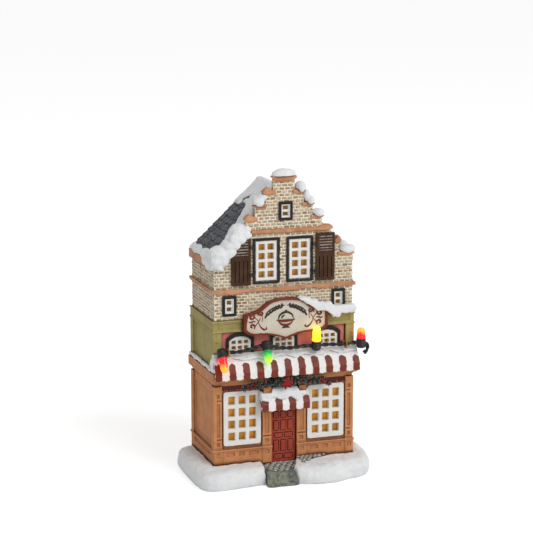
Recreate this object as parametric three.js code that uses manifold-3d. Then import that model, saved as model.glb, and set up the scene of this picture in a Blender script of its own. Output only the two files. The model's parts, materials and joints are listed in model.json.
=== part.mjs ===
// A small battery-lit resin shop of a christmas village: a narrow house front with a stepped gable on a
// snow-covered foot. Millimetres, +Z up, the front looks to -Y, the origin is on the floor under the middle.
import * as THREE from 'three';
import { mergeVertices } from 'three/addons/utils/BufferGeometryUtils.js';
import Module from 'manifold-3d';

const wasm = await Module();
wasm.setup();

// Fits
const clearance = 0.3; // between neighbouring castings that are glued or laid in
const weld = 0.2; // how far joined solids run into each other
const runningGap = 0.1; // round the hinge pins

// The foot
const sideMargin = 10.5; // from the house walls to each end of the foot
const frontMargin = 20.5; // from the front edge of the foot to the house front
const rearMargin = 2.9;
const footSeat = 6.4; // height on which the walls stand
const snowRise = 2; // snow above that seat
const snowRound = 4.2; // rounding of the foot's rim
const rimRound = 1.4; // the rounding starts this much above the floor
const pathWidth = 12.5; // at the door
const pathFlare = 2.6; // what each side of the path gains down its front face
const pathLean = 3; // how far the front face of the path leans out
const pathSetBack = 5.6; // from the front edge of the foot to the lip of the path

// The house; its width follows from the battery box
const boxRoom = 1.4; // between the battery box and the side walls
const houseDepth = 36.6;
const wall = 2.6;
const houseShift = 0.5; // the house stands a little right of the middle of the foot
const pilasterProud = 0.8;
const pilasterWidth = 4.2;
const carve = 0.5; // depth of the panels and grooves in the fronts
const mouldingProud = 0.45; // of the mouldings in front of what they edge

// Storeys, from the seat up
const shopHeight = 40.1;
const corniceHeight = 7;
const panelStoreyHeight = 24.7;
const brickHeight = 26.7; // up to the eaves

// Shop floor
const plinthHeight = 8.2;
const plinthPanelZ = [5.3, 7.3]; // carved panels, above the seat
const plinthPanelShares = [0.21, 0.15, 0.24]; // their widths in each bay
const plinthGroove = 4; // above the seat
const plinthBlockProud = 0.4; // of the blocks under the pilasters
const shopWindowSizes = { sill: 2.4, head: 2.9, margin: 0.7, columns: 3, rows: 4, frame: 2.4, bar: 1.8 };
const flangeProud = 0.7; // of the shop windows
const windowRebate = 1; // what a shop window is smaller in its opening than its flange
const doorWidth = 12.8;
const doorHead = 13.1; // from the top of the door to the cornice
const doorPilasterWidth = 4.6;
const capitalHeight = 4.2;
const capitalReach = 2.2;
const corniceReach = 2.9; // overhang of the cornice at the front
const corniceSideShare = 0.62; // of that overhang at the sides and the rear
const coveHeight = 3.2;

// Awnings: a sheet that slopes from the wall to a fold, and a valance that hangs from the fold
const awningSizes = {
  overhang: 1.7, rise: 7.9, slope: 6.5, valance: 3.9, reach: 5.9, sheet: 1.3, stripes: 21,
};
const doorAwningSizes = {
  overhang: 1.1, drop: 4.9, slope: 4, valance: 3.6, reach: 4.4, sheet: 1.2, stripes: 7,
};
const doorAwningShift = -0.8;
const stripeRise = 0.25; // the red stripes stand a little proud
const scallop = 0.45;
const awningSnowThick = 1.2;
const doorSnowThick = 1.5;

// Garland
const garlandReach = 21.6; // to each side
const garlandRadius = 1.9;
const garlandDroop = 2;
const flowerRadius = 2.9;

// Green storey
const friezeHeight = 5.6;
const panelSetBack = 0.6; // the mauve panel lies behind the house front
const archSizes = { width: 11.4, rise: 2.2, columns: 3, rows: 2, frame: 1.5, bar: 0.9 };
const archSillRise = 8.7; // above the cornice
const archHead = 2.2; // from the crown of an arched window to the frieze
const archMargin = 2.4; // from the outer surrounds to the edges of the panel
const surroundWidth = 1.2;
const surroundProud = 0.7;

// Brick storeys
const beltRise = 13.2; // above the green storey
const beltHeight = 1.6;
const beltReach = 1.3;
const smallSizes = {
  width: 4.6, inset: 7.3, sill: 3.2, head: 2.6, columns: 1, rows: 2, frame: 1.1, bar: 1.1,
};
const upperSizes = {
  width: 11, offset: 8.3, sill: 2.9, head: 3.3, columns: 2, rows: 4, frame: 1.7, bar: 1.3,
};
const upperShift = -0.6; // the pair sits a little left of the middle
const sashSetBack = 0.6; // from the inner face of the wall
const shutterMargin = 8.9; // from the outer edge of a shutter to the corner of the house
const shutterRise = 0.8; // what a shutter is taller than its surround
const shutterThick = 1.4;
const shutterGap = 1.2;
const shutterRim = 1.4;
const slatPitch = 1.35;

// Gable and roof
const roofRise = 31.7; // ridge above the eaves, under the sheet
const roofSheet = 2;
const slateCourses = 13;
const slateStep = 0.4;
const gableSteps = 6;
const gableParapet = 7; // top of the gable above the ridge
const gableShoulder = 1.5; // first step above the eaves
const shoulderRun = 6.7; // width of that first step
const capHalf = 5.3;
const eaveRise = 1.6; // top of the eave course above the eaves
const eaveDrop = 2.6; // and its bottom below them
const copingHeight = 1.3;
const copingPeak = 1.9; // what the hump of a bare coping adds to that
const copingReach = 1.1;
const ledgeStep = 2; // the step whose coping runs the full width as a ledge
const ledgeHeight = 1.7;
const capHeight = 2;
const atticWindow = { width: 4.6, height: 6.6, columns: 1, rows: 2, frame: 0.9, bar: 1.1 };
const atticSill = 5.2; // above the ledge
const atticShift = 0.6;
const snowThick = 1.7;
const snowLap = 0.9; // how far snow hangs over the front of what it lies on
const ridgeSnowRadius = 2.6;
const heapWidth = 3; // half the width of a heap on the copings
const heapHeight = 2.1;

// Sign board
const signWidth = 42;
const signEnd = 8; // height of its straight ends
const signLap = 5; // bottom of those ends below the top of the green storey
const signCrown = 6.6; // arch above the ends
const signDrop = 5; // point below the ends
const signThick = 1.8;
const signBorder = 1.3;
const signBorderProud = 0.8;

// Lamp string
const wireRise = 10.5; // above the cornice
const wireRadius = 0.95;
const wirePlane = 5.2; // in front of the house front
const socketRadius = 2.3;
const socketLength = 4.6;
const lampRadius = 1.95;
const lampLength = 7.2;
const eyeletRadius = 1.7;
const eyeletWire = 0.45;
const eyeletInset = 1.7; // from the edge of the mauve panel

// Battery box, for two AAA cells
const cellRadius = 5.25;
const cellLength = 44.5;
const cellPitch = 11.2;
const contactRoom = 2.9; // at each end of the cells
const contactThick = 0.5;
const hingeRoom = 3.4; // left of the cells
const switchRoom = 4.7; // right of the cells
const cellMargin = 1.1; // in front of and behind the cells
const boxLift = 1.2; // underside of the box above the floor
const boxWall = 1.3;
const coverThick = 1.6;
const flangeThick = 1.2;
const hingeRadius = 1;
const pinRadius = 0.5;
const pinLength = 0.9; // beyond each end of the barrel
const knobTravel = 2.5;
const knobLength = 3.2;
const knobWidth = 2.6;
const shoeReach = 0.9; // the knob's shoe, wider than its stem
const switchHeight = 4;
const switchLength = 12;
const boardLength = 28;
const boardDepth = 16;
const boardThick = 1.2;
const roomLampRadius = 2.5;
const filmThick = 0.4;
const filmGap = 0.15;

// Widths and depths that follow
const boxLength = hingeRoom + cellLength + 2 * contactRoom + 2 * boxWall + switchRoom;
const boxHalf = boxLength / 2;
const half = boxHalf + boxRoom + wall; // of the house
const houseWidth = 2 * half;
const rear = houseDepth;
const footWidth = houseWidth + 2 * sideMargin;
const footDepth = frontMargin + houseDepth + rearMargin;
const boxMiddle = rear / 2;
const boxFront = boxMiddle - cellPitch / 2 - cellRadius - cellMargin - boxWall;
const boxBack = boxMiddle + cellPitch / 2 + cellRadius + cellMargin + boxWall;
const panelReach = half + pilasterProud - pilasterWidth; // inner edge of the corner pilasters

// Levels and planes
const shopTop = footSeat + shopHeight;
const corniceTop = shopTop + corniceHeight;
const panelTop = corniceTop + panelStoreyHeight;
const eaves = panelTop + brickHeight;
const beltLevel = panelTop + beltRise;
const stepRise = (roofRise + gableParapet - gableShoulder) / gableSteps;
const stepRun = (half - shoulderRun - capHalf) / (gableSteps - 1);
const stepTop = (step) => eaves + gableShoulder + step * stepRise;
const ledgeLevel = stepTop(ledgeStep);
const gableTop = stepTop(gableSteps);
const archSill = corniceTop + archSillRise;
const signBase = panelTop - signLap;
const signFace = -pilasterProud - clearance - signThick;
const wireLevel = corniceTop + wireRise;

// Openings and awnings that follow
const doorHeight = shopHeight - doorHead;
const doorSide = doorWidth / 2 + doorPilasterWidth;
const shopWindow = {
  ...shopWindowSizes,
  width: panelReach - doorSide - 2 * shopWindowSizes.margin,
  height: shopHeight - plinthHeight - shopWindowSizes.sill - shopWindowSizes.head,
};
const shopWindowOffset = (panelReach + doorSide) / 2;
const shopWindowBase = footSeat + plinthHeight + shopWindowSizes.sill;
const archWindow = { ...archSizes, height: panelStoreyHeight - friezeHeight - archSillRise - archHead };
const archOffset = panelReach - archMargin - surroundWidth - archWindow.width / 2;
const smallWindow = { ...smallSizes, height: beltRise - smallSizes.sill - smallSizes.head };
const upperBase = beltLevel + beltHeight + upperSizes.sill;
const upperWindow = { ...upperSizes, height: ledgeLevel - upperSizes.head - upperBase };
const shutterHeight = upperWindow.height + 2 * surroundWidth + shutterRise;
const shutterNear = upperWindow.offset + upperWindow.width / 2 + surroundWidth + shutterGap;
const shutterWidth = half - shutterMargin - shutterNear;
const smallPlaces = [-1, 1].map((side) => [side * (half - smallWindow.inset), panelTop + smallWindow.sill]);
const upperPlaces = [-1, 1].map((side) => [upperShift + side * upperWindow.offset, upperBase]);
const atticPlace = [atticShift, ledgeLevel + ledgeHeight + atticSill];
const archPlaces = [-archOffset, 0, archOffset];
const awning = hung(awningSizes, houseWidth, corniceTop + awningSizes.rise);
const doorAwning = hung(doorAwningSizes, 2 * doorSide, shopTop - doorAwningSizes.drop);

// An awning in place: its width over what it covers, and the levels of its fold and its hem
function hung(sizes, covered, top) {
  const fold = top - sizes.slope;
  return { ...sizes, width: covered + 2 * sizes.overhang, top, fold, hem: fold - sizes.valance };
}

// Solids from three.js geometry, joined and cut
function solid(geometry) {
  const bare = geometry.clone();
  bare.deleteAttribute('normal');
  bare.deleteAttribute('uv');
  const merged = mergeVertices(bare, 1e-4);
  return new wasm.Manifold(new wasm.Mesh({
    numProp: 3,
    vertProperties: new Float32Array(merged.attributes.position.array),
    triVerts: new Uint32Array(merged.index.array),
  }));
}

function geometryOf(shape) {
  const mesh = shape.getMesh();
  const geometry = new THREE.BufferGeometry();
  geometry.setAttribute('position', new THREE.BufferAttribute(mesh.vertProperties, 3));
  geometry.setIndex(new THREE.BufferAttribute(mesh.triVerts, 1));
  return geometry;
}

const join = (...solids) => solids.flat().reduce((sum, next) => sum.add(next));
const cut = (body, ...tools) => tools.flat().reduce((rest, tool) => rest.subtract(tool), body);

// The largest body of a shape, without crumbs and facets too small to see
function whole(shape, tolerance = 0.06) {
  const bodies = shape.simplify(tolerance).decompose();
  return bodies.reduce((best, next) => (next.volume() > best.volume() ? next : best));
}

// The room that a piece needs round it: copies moved by the clearance along each axis
function grown(shape, by = clearance) {
  const moves = [[by, 0, 0], [-by, 0, 0], [0, by, 0], [0, -by, 0], [0, 0, by], [0, 0, -by]];
  return join(moves.map((move) => solid(geometryOf(shape).translate(...move))));
}

function box(x0, x1, y0, y1, z0, z1) {
  const block = new THREE.BoxGeometry(x1 - x0, y1 - y0, z1 - z0);
  block.translate((x0 + x1) / 2, (y0 + y1) / 2, (z0 + z1) / 2);
  return solid(block);
}

const outline = (points) => new THREE.Shape(points.map(([x, y]) => new THREE.Vector2(x, y)));

// An outline in the plane of the front (x, z), from y0 back to y1
function upright(shape, y0, y1, options = {}) {
  const plain = { depth: y1 - y0, bevelEnabled: false, curveSegments: 3 };
  const geometry = new THREE.ExtrudeGeometry(shape, { ...plain, ...options });
  geometry.rotateX(Math.PI / 2);
  geometry.translate(0, y1, 0);
  return solid(geometry);
}

// A side profile (y, z), run along x from x0 to x1
function alongX(shape, x0, x1) {
  const geometry = new THREE.ExtrudeGeometry(shape, { depth: x1 - x0, bevelEnabled: false });
  geometry.applyMatrix4(new THREE.Matrix4().makeBasis(
    new THREE.Vector3(0, 1, 0), new THREE.Vector3(0, 0, 1), new THREE.Vector3(1, 0, 0)));
  geometry.translate(x0, 0, 0);
  return solid(geometry);
}

// A plan outline (x, y), from z0 up to z1
function plan(shape, z0, z1) {
  const geometry = new THREE.ExtrudeGeometry(shape, { depth: z1 - z0, bevelEnabled: false });
  geometry.translate(0, 0, z0);
  return solid(geometry);
}

function cylinder(radius, length, place, axis = 'z', sides = 16, topRadius = radius) {
  const geometry = new THREE.CylinderGeometry(topRadius, radius, length, sides);
  if (axis === 'z') geometry.rotateX(Math.PI / 2);
  if (axis === 'x') geometry.rotateZ(Math.PI / 2);
  geometry.translate(...place);
  return solid(geometry);
}

function lump(place, radii, sides = 12) {
  const geometry = new THREE.SphereGeometry(1, sides, Math.round(sides * 0.6));
  geometry.scale(...radii);
  geometry.translate(...place);
  return solid(geometry);
}

function tube(points, radius, steps, sides = 8) {
  const curve = new THREE.CatmullRomCurve3(points.map((p) => new THREE.Vector3(...p)));
  const section = new THREE.Shape();
  for (let i = 0; i < sides; i++) {
    const angle = (i / sides) * 2 * Math.PI;
    const point = [radius * Math.cos(angle), radius * Math.sin(angle)];
    if (i) section.lineTo(...point);
    else section.moveTo(...point);
  }
  return solid(new THREE.ExtrudeGeometry(section, { steps, bevelEnabled: false, extrudePath: curve }));
}

function roundedRect(width, height, radius, centreX = 0, baseZ = 0) {
  const x = centreX - width / 2;
  const shape = new THREE.Shape();
  shape.moveTo(x + radius, baseZ);
  shape.lineTo(x + width - radius, baseZ);
  shape.quadraticCurveTo(x + width, baseZ, x + width, baseZ + radius);
  shape.lineTo(x + width, baseZ + height - radius);
  shape.quadraticCurveTo(x + width, baseZ + height, x + width - radius, baseZ + height);
  shape.lineTo(x + radius, baseZ + height);
  shape.quadraticCurveTo(x, baseZ + height, x, baseZ + height - radius);
  shape.lineTo(x, baseZ + radius);
  shape.quadraticCurveTo(x, baseZ, x + radius, baseZ);
  return shape;
}

// A window outline with a low arch at its head
function archedRect(width, height, rise, centreX, baseZ) {
  const x = centreX - width / 2;
  const shape = new THREE.Shape();
  shape.moveTo(x, baseZ);
  shape.lineTo(x + width, baseZ);
  shape.lineTo(x + width, baseZ + height - rise);
  shape.quadraticCurveTo(x + width * 0.8, baseZ + height, centreX, baseZ + height);
  shape.quadraticCurveTo(x + width * 0.2, baseZ + height, x, baseZ + height - rise);
  shape.closePath();
  return shape;
}

// The pane holes of a lattice window: what its frame and its bars leave open
function paneHoles(window, centreX, baseZ, y0, y1) {
  const { width, height, columns, rows, frame, bar } = window;
  const paneWidth = (width - 2 * frame - (columns - 1) * bar) / columns;
  const paneHeight = (height - 2 * frame - (rows - 1) * bar) / rows;
  const holes = [];
  for (let column = 0; column < columns; column++) {
    for (let row = 0; row < rows; row++) {
      const x = centreX - width / 2 + frame + column * (paneWidth + bar);
      const z = baseZ + frame + row * (paneHeight + bar);
      holes.push(box(x, x + paneWidth, y0, y1, z, z + paneHeight));
    }
  }
  return holes;
}

// The four walls of a storey, thickened outwards
function ring(grow, z0, z1) {
  const body = box(-half - grow, half + grow, -grow, rear + grow, z0, z1);
  return cut(body, box(-half + wall, half - wall, wall, rear - wall, z0 - 1, z1 + 1));
}

// The scene graph
const shop = new THREE.Group();
const house = new THREE.Group();
house.position.set(houseShift, frontMargin - footDepth / 2, 0);
shop.add(house);

function add(name, shape, paint, parent = house) {
  const material = new THREE.MeshStandardMaterial(paint);
  const mesh = new THREE.Mesh(geometryOf(shape), material);
  mesh.name = name;
  parent.add(mesh);
  return shape;
}

const snowPaint = { color: 0xe6ebf0, roughness: 0.8, metalness: 0 };
const brownPaint = { color: 0xa8714c, roughness: 0.75, metalness: 0 };
const greenPaint = { color: 0x857b48, roughness: 0.75, metalness: 0 };
const mauvePaint = { color: 0xa35f66, roughness: 0.75, metalness: 0 };
const brickPaint = { color: 0xd9c9ad, roughness: 0.85, metalness: 0 };
const ledgePaint = { color: 0xba754d, roughness: 0.75, metalness: 0 };
const slatePaint = { color: 0x44474c, roughness: 0.6, metalness: 0 };
const whitePaint = { color: 0xeae6e0, roughness: 0.6, metalness: 0 };
const blackPaint = { color: 0x242220, roughness: 0.6, metalness: 0 };
const doorPaint = { color: 0x8c3226, roughness: 0.6, metalness: 0 };
const shutterPaint = { color: 0x3e2a22, roughness: 0.7, metalness: 0 };
const awningPaint = { color: 0x963e2a, roughness: 0.6, metalness: 0 };
const signPaint = { color: 0xd2cdbe, roughness: 0.7, metalness: 0 };
const pathPaint = { color: 0x6e7069, roughness: 0.8, metalness: 0 };
const leafPaint = { color: 0x26382c, roughness: 0.8, metalness: 0 };
const plasticPaint = { color: 0x17171a, roughness: 0.4, metalness: 0 };
const brassPaint = { color: 0xb08d4a, roughness: 0.35, metalness: 1 };
const steelPaint = { color: 0xb8babd, roughness: 0.3, metalness: 1 };
const boardPaint = { color: 0x2f6b3f, roughness: 0.5, metalness: 0 };
const filmPaint = { color: 0xd8952f, roughness: 0.5, metalness: 0 };

// Foot: its outline in plan, a rounded rim, drifts against the walls
function footOutline() {
  const w = footWidth / 2;
  const d = footDepth / 2;
  const shape = new THREE.Shape();
  shape.moveTo(-w * 0.93, -d * 0.8);
  shape.quadraticCurveTo(-w * 0.85, -d * 0.87, -w * 0.7, -d * 0.84);
  shape.lineTo(-w * 0.31, -d * 0.76);
  shape.lineTo(w * 0.04, -d * 0.88);
  shape.bezierCurveTo(w * 0.18, -d, w * 0.3, -d, w * 0.42, -d);
  shape.bezierCurveTo(w * 0.54, -d * 0.98, w * 0.6, -d * 0.86, w * 0.74, -d * 0.86);
  shape.bezierCurveTo(w * 0.92, -d * 0.78, w * 0.99, -d * 0.4, w, -d * 0.05);
  shape.bezierCurveTo(w, d * 0.5, w * 0.99, d * 0.8, w * 0.9, d * 0.93);
  shape.bezierCurveTo(w * 0.84, d, w * 0.7, d, w * 0.4, d);
  shape.lineTo(-w * 0.5, d);
  shape.bezierCurveTo(-w * 0.8, d, -w * 0.94, d * 0.95, -w * 0.98, d * 0.7);
  shape.bezierCurveTo(-w, d * 0.4, -w, d * 0.1, -w, -d * 0.2);
  shape.bezierCurveTo(-w, -d * 0.5, -w, -d * 0.7, -w * 0.93, -d * 0.8);
  return shape;
}

const seatX = houseShift;
const seatY = frontMargin - footDepth / 2;
const pathX = seatX - pathWidth * 0.44; // middle of the path at its lip, left of the door
const pathLip = -footDepth / 2 + pathSetBack;
const pathTop = footSeat;

function pathOutline(grow) {
  return outline([
    [pathX - pathWidth / 2 - grow, seatY],
    [pathX - pathWidth / 2 - pathFlare - grow, pathLip - pathLean - 8],
    [pathX + pathWidth / 2 + pathFlare + grow, pathLip - pathLean - 8],
    [pathX + pathWidth / 2 + grow, pathLip + 2],
    [seatX + doorWidth / 2 + grow, seatY],
  ]);
}

function makeFoot() {
  const height = footSeat + snowRise;
  const body = new THREE.ExtrudeGeometry(footOutline(), {
    depth: height - snowRound - rimRound, curveSegments: 4,
    bevelEnabled: true, bevelThickness: snowRound, bevelSize: snowRound, bevelOffset: -snowRound,
    bevelSegments: 3,
  });
  body.translate(0, 0, rimRound);
  const drifts = join(
    lump([-footWidth * 0.33, -footDepth * 0.31, footSeat - 0.6], [footWidth * 0.13, 5.4, 3]),
    lump([footWidth * 0.27, -footDepth * 0.36, footSeat - 1.4], [footWidth * 0.17, 6, 4.2]),
    lump([footWidth * 0.43, footDepth * 0.02, footSeat - 1], [4.6, footDepth * 0.25, 4.4]),
    lump([-footWidth * 0.43, footDepth * 0.05, footSeat - 1.2], [4.4, footDepth * 0.3, 3.8]),
  );
  const far = footWidth;
  const above = footSeat + shopHeight;
  const room = pilasterProud + clearance;
  const floor = box(-far, far, -far, far, -far, 0);
  const print = box(seatX - half - room, seatX + half + room, seatY - room - 0.4, seatY + rear + room,
    footSeat, above);
  const trench = plan(pathOutline(clearance), -1, above);
  const pocket = box(seatX - boxHalf - clearance, seatX + boxHalf + clearance,
    seatY + boxFront - clearance, seatY + boxBack + clearance, -1, above);
  return cut(join(solid(body), drifts), floor, print, trench, pocket);
}

function makePath() {
  const side = outline([
    [pathLip - pathLean, 0],
    [seatY + wall, 0],
    [seatY + wall, pathTop - 1],
    [seatY - pilasterProud - clearance, pathTop - 1],
    [seatY - pilasterProud - clearance, pathTop],
    [pathLip + 1.2, pathTop],
    [pathLip, pathTop - 0.8],
  ]);
  const block = alongX(side, -footWidth / 2, footWidth / 2);
  return block.intersect(plan(pathOutline(0), 0, pathTop + 1));
}

// Shop floor
function plinthPanels(x0, x1, z0, z1) {
  const bare = 1 - plinthPanelShares.reduce((sum, share) => sum + share, 0);
  const gap = (bare / (plinthPanelShares.length + 1)) * (x1 - x0);
  let x = x0;
  return plinthPanelShares.map((share) => {
    const left = x + gap;
    x = left + share * (x1 - x0);
    return box(left, x, -pilasterProud - 1, -pilasterProud + carve, z0, z1);
  });
}

// A pilaster with a long sunk panel between two grooves and two sunk squares
function pilaster(x, width, z0, z1) {
  const sunk = (share, base, height) => box(x - width * share, x + width * share,
    -pilasterProud - 1, -pilasterProud + carve, base, base + height);
  const [square, groove, edge] = [1.8, 0.5, 7.2];
  return cut(box(x - width / 2, x + width / 2, -pilasterProud, 1, z0, z1),
    sunk(0.22, z0 + 2.6, square), sunk(0.51, z0 + edge - 1.6, groove),
    sunk(0.24, z0 + edge, z1 - z0 - 2 * edge - 1.2),
    sunk(0.51, z1 - edge, groove), sunk(0.22, z1 - edge + 1.6, square));
}

// The block of the plinth under a pilaster, with the moulding that runs round it
function plinthBlock(x, width) {
  const face = -pilasterProud - plinthBlockProud;
  const top = footSeat + plinthHeight;
  const body = box(x - width / 2, x + width / 2, face, 0, footSeat + 0.6, top);
  const cap = box(x - width / 2 - 0.2, x + width / 2 + 0.2, face - mouldingProud, 0, top, top + 0.9);
  const [low, high] = plinthPanelZ.map((z) => footSeat + z);
  const sunk = box(x - width * 0.22, x + width * 0.22, face - 1, face + carve, low, high);
  const stud = box(x - width * 0.1, x + width * 0.1, face + 0.1, 0, low + 0.5, high - 0.5);
  return join(cut(body, sunk), stud, cap);
}

// The sunk panel and the sunk strip of the plinth on a side wall
function sideCarving(side) {
  const reach = pilasterWidth - pilasterProud + 1.4;
  const sunk = (proud, z0, z1) => {
    const face = half + proud - carve;
    const [x0, x1] = side < 0 ? [-face - 3, -face] : [face, face + 3];
    return box(x0, x1, reach, rear - reach, z0, z1);
  };
  return [
    sunk(0, footSeat + plinthHeight + 2.6, shopTop - 4.2),
    sunk(pilasterProud, ...plinthPanelZ.map((z) => footSeat + z)),
  ];
}

function makeShopWalls() {
  const z0 = footSeat;
  const plinthTop = z0 + plinthHeight;
  const corner = half + pilasterProud - pilasterWidth / 2;
  const doorPilaster = (doorWidth + doorPilasterWidth) / 2;
  const doorGap = box(-doorWidth / 2, doorWidth / 2, -9, 1, z0 - 1, plinthTop + 2);
  const sidePost = (x, y) => box(x - pilasterProud, x + pilasterProud, y, y + pilasterWidth, z0, shopTop);
  const solids = [
    ring(0, z0, shopTop),
    cut(ring(pilasterProud, z0, plinthTop), doorGap),
    cut(ring(pilasterProud + mouldingProud, plinthTop, plinthTop + 0.8), doorGap),
  ];
  for (const side of [-1, 1]) {
    solids.push(
      pilaster(side * corner, pilasterWidth, plinthTop, shopTop),
      pilaster(side * doorPilaster, doorPilasterWidth, plinthTop, shopTop),
    );
  }
  for (const side of [-half, half]) {
    solids.push(sidePost(side, -pilasterProud), sidePost(side, rear + pilasterProud - pilasterWidth));
  }
  for (const side of [-1, 1]) {
    const x = side * doorPilaster;
    const capitalZ = shopTop - capitalHeight;
    const capital = outline([[-pilasterProud, capitalZ], [-capitalReach, capitalZ + 1.6],
      [-capitalReach, shopTop], [0, shopTop], [0, capitalZ]]);
    solids.push(alongX(capital, x - doorPilasterWidth * 0.4, x + doorPilasterWidth * 0.4));
  }
  const panelZ = plinthPanelZ.map((z) => z0 + z);
  const inner = doorPilaster + doorPilasterWidth / 2;
  const outer = half + pilasterProud - pilasterWidth;
  const reach = half + pilasterProud;
  const cuts = [
    box(-doorWidth / 2, doorWidth / 2, -9, wall + 1, z0 - 1, z0 + doorHeight),
    ...plinthPanels(-outer, -inner, ...panelZ),
    ...plinthPanels(inner, outer, ...panelZ),
    cut(box(-reach - 1, reach + 1, -9, rear + 9, z0 + plinthGroove, z0 + plinthGroove + 0.5),
      box(-reach + 0.35, reach - 0.35, -pilasterProud + 0.35, rear + pilasterProud - 0.35, z0, shopTop)),
    ...sideCarving(-1),
    ...sideCarving(1),
  ];
  for (const side of [-1, 1]) {
    const opening = roundedRect(shopWindow.width - 2 * windowRebate, shopWindow.height - 2 * windowRebate, 1,
      side * shopWindowOffset, shopWindowBase + windowRebate);
    cuts.push(upright(opening, -2, wall + 1));
  }
  const blocks = [-1, 1].flatMap((side) => [
    plinthBlock(side * corner, pilasterWidth), plinthBlock(side * doorPilaster, doorPilasterWidth)]);
  return join(cut(join(solids), cuts), blocks);
}

function makeShopWindow(x) {
  const { width, height } = shopWindow;
  const rebate = windowRebate + clearance;
  const flange = upright(roundedRect(width, height, 1.4, x, shopWindowBase), -flangeProud, 0);
  const inner = roundedRect(width - 2 * rebate, height - 2 * rebate, 1, x, shopWindowBase + rebate);
  const plug = upright(inner, -0.2, 1.4);
  return cut(join(flange, plug), paneHoles(shopWindow, x, shopWindowBase, -3, 3));
}

// The door: its carved panels in rows from the bottom up, each with its count, height and width
const doorRows = [[2, 2, 3.9], [3, 5, 2.2], [2, 1.8, 3.7], [3, 4.4, 2.2], [3, 2.6, 2.2]];
const doorRail = 1.7; // between the rows

function makeDoor() {
  const width = doorWidth - 2 * clearance;
  const height = doorHeight - clearance;
  const face = 0.7;
  const body = box(-width / 2, width / 2, face, wall - 0.2, footSeat, footSeat + height);
  const rails = doorRail * (doorRows.length + 1);
  const panels = doorRows.reduce((sum, row) => sum + row[1], 0);
  const stretch = (height - rails) / panels;
  const fields = [];
  const reliefs = [];
  let z = footSeat + doorRail;
  for (const [count, share, panelWidth] of doorRows) {
    const pitch = width / (count + 0.35);
    for (let i = 0; i < count; i++) {
      const x = (i - (count - 1) / 2) * pitch;
      const [x0, x1, z1] = [x - panelWidth / 2, x + panelWidth / 2, z + share * stretch];
      const edge = 0.45;
      fields.push(box(x0 - edge, x1 + edge, -1, face + carve, z - edge, z1 + edge));
      reliefs.push(box(x0, x1, face - 0.25, face + carve + 0.2, z, z1));
    }
    z += share * stretch + doorRail;
  }
  return join(cut(body, fields), reliefs);
}

function makeCornice() {
  const reach = corniceReach;
  const shelf = ring(0, shopTop, corniceTop);
  const steps = 4;
  const parts = [shelf];
  for (let i = 0; i < steps; i++) {
    const t = (i + 1) / steps;
    const grow = reach * (1 - Math.sqrt(1 - t * t)) * 0.85 + 0.15 * reach * t;
    const z0 = shopTop + (i / steps) * coveHeight;
    parts.push(corniceLayer(grow, z0, shopTop + t * coveHeight));
  }
  parts.push(corniceLayer(reach, shopTop + coveHeight, corniceTop));
  return join(parts);
}

// The cornice overhangs the front fully and the sides less
function corniceLayer(grow, z0, z1) {
  const side = grow * corniceSideShare;
  const body = box(-half - side, half + side, -grow, rear + side, z0, z1);
  return cut(body, box(-half + wall, half - wall, wall, rear - wall, z0 - 1, z1 + 1));
}

function awningProfile(spec, backY, rise) {
  const frontY = backY - spec.reach;
  return outline([
    [backY, spec.top + rise],
    [backY - spec.reach * 0.55, (spec.top + spec.fold) / 2 + 0.7 + rise],
    [frontY, spec.fold + rise],
    [frontY - rise - 0.3, spec.fold - 0.7],
    [frontY - rise - 0.3, spec.hem - scallop],
    [frontY - 0.3 + spec.sheet, spec.hem - scallop],
    [frontY - 0.3 + spec.sheet, spec.fold - spec.sheet],
    [backY, spec.top - spec.sheet * 1.9],
  ]);
}

// The room that an awning needs under its snow
function awningRoom(spec, backY, shift) {
  const reach = spec.width / 2 + clearance;
  return alongX(awningProfile(spec, backY, stripeRise + clearance), shift - reach, shift + reach);
}

// Awnings: a sloping sheet that folds down into a scalloped valance, in stripes
function makeAwning(spec, backY, shift) {
  const pitch = spec.width / spec.stripes;
  const frontY = backY - spec.reach;
  const left = shift - spec.width / 2;
  const stripes = [alongX(awningProfile(spec, backY, 0), left, left + spec.width)];
  for (let i = 0; i < spec.stripes; i += 2) {
    stripes.push(alongX(awningProfile(spec, backY, stripeRise), left + i * pitch, left + (i + 1) * pitch));
  }
  const edge = new THREE.Shape();
  edge.moveTo(left - 1, spec.top + 4);
  edge.lineTo(left - 1, spec.hem);
  edge.lineTo(left, spec.hem);
  for (let i = 0; i < spec.stripes; i++) {
    const x = left + i * pitch;
    edge.quadraticCurveTo(x + pitch / 2, spec.hem - 2 * scallop, x + pitch, spec.hem);
  }
  edge.lineTo(left + spec.width + 1, spec.hem);
  edge.lineTo(left + spec.width + 1, spec.top + 4);
  edge.closePath();
  const trim = upright(edge, frontY - 4, backY + 1, { curveSegments: 2 });
  return join(stripes).intersect(trim);
}

// A blanket of snow on a sloping sheet: an even upper edge and a torn lower one, in shares of the sheet
function makeBlanket(spec, backY, shift, reach, thick, waves) {
  const length = Math.hypot(spec.reach, spec.top - spec.fold);
  const fall = Math.atan2(spec.top - spec.fold, spec.reach);
  const round = thick * 0.4;
  const left = -spec.width / 2 + round;
  const width = spec.width - 2 * round;
  const shape = new THREE.Shape();
  shape.moveTo(left, 0);
  for (let i = 0; i <= waves; i++) {
    const drop = length * reach * (1 + 0.42 * Math.sin(i * 2.3) + 0.15 * Math.cos(i * 5.1));
    shape.lineTo(left + (width * i) / waves, -drop);
  }
  shape.lineTo(left + width, 0);
  shape.closePath();
  const geometry = new THREE.ExtrudeGeometry(shape, {
    depth: thick - round, bevelEnabled: true, bevelThickness: round, bevelSize: round, bevelSegments: 2,
    curveSegments: 1,
  });
  geometry.rotateX(fall);
  geometry.translate(shift, backY, spec.top + clearance);
  return solid(geometry);
}

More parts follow.
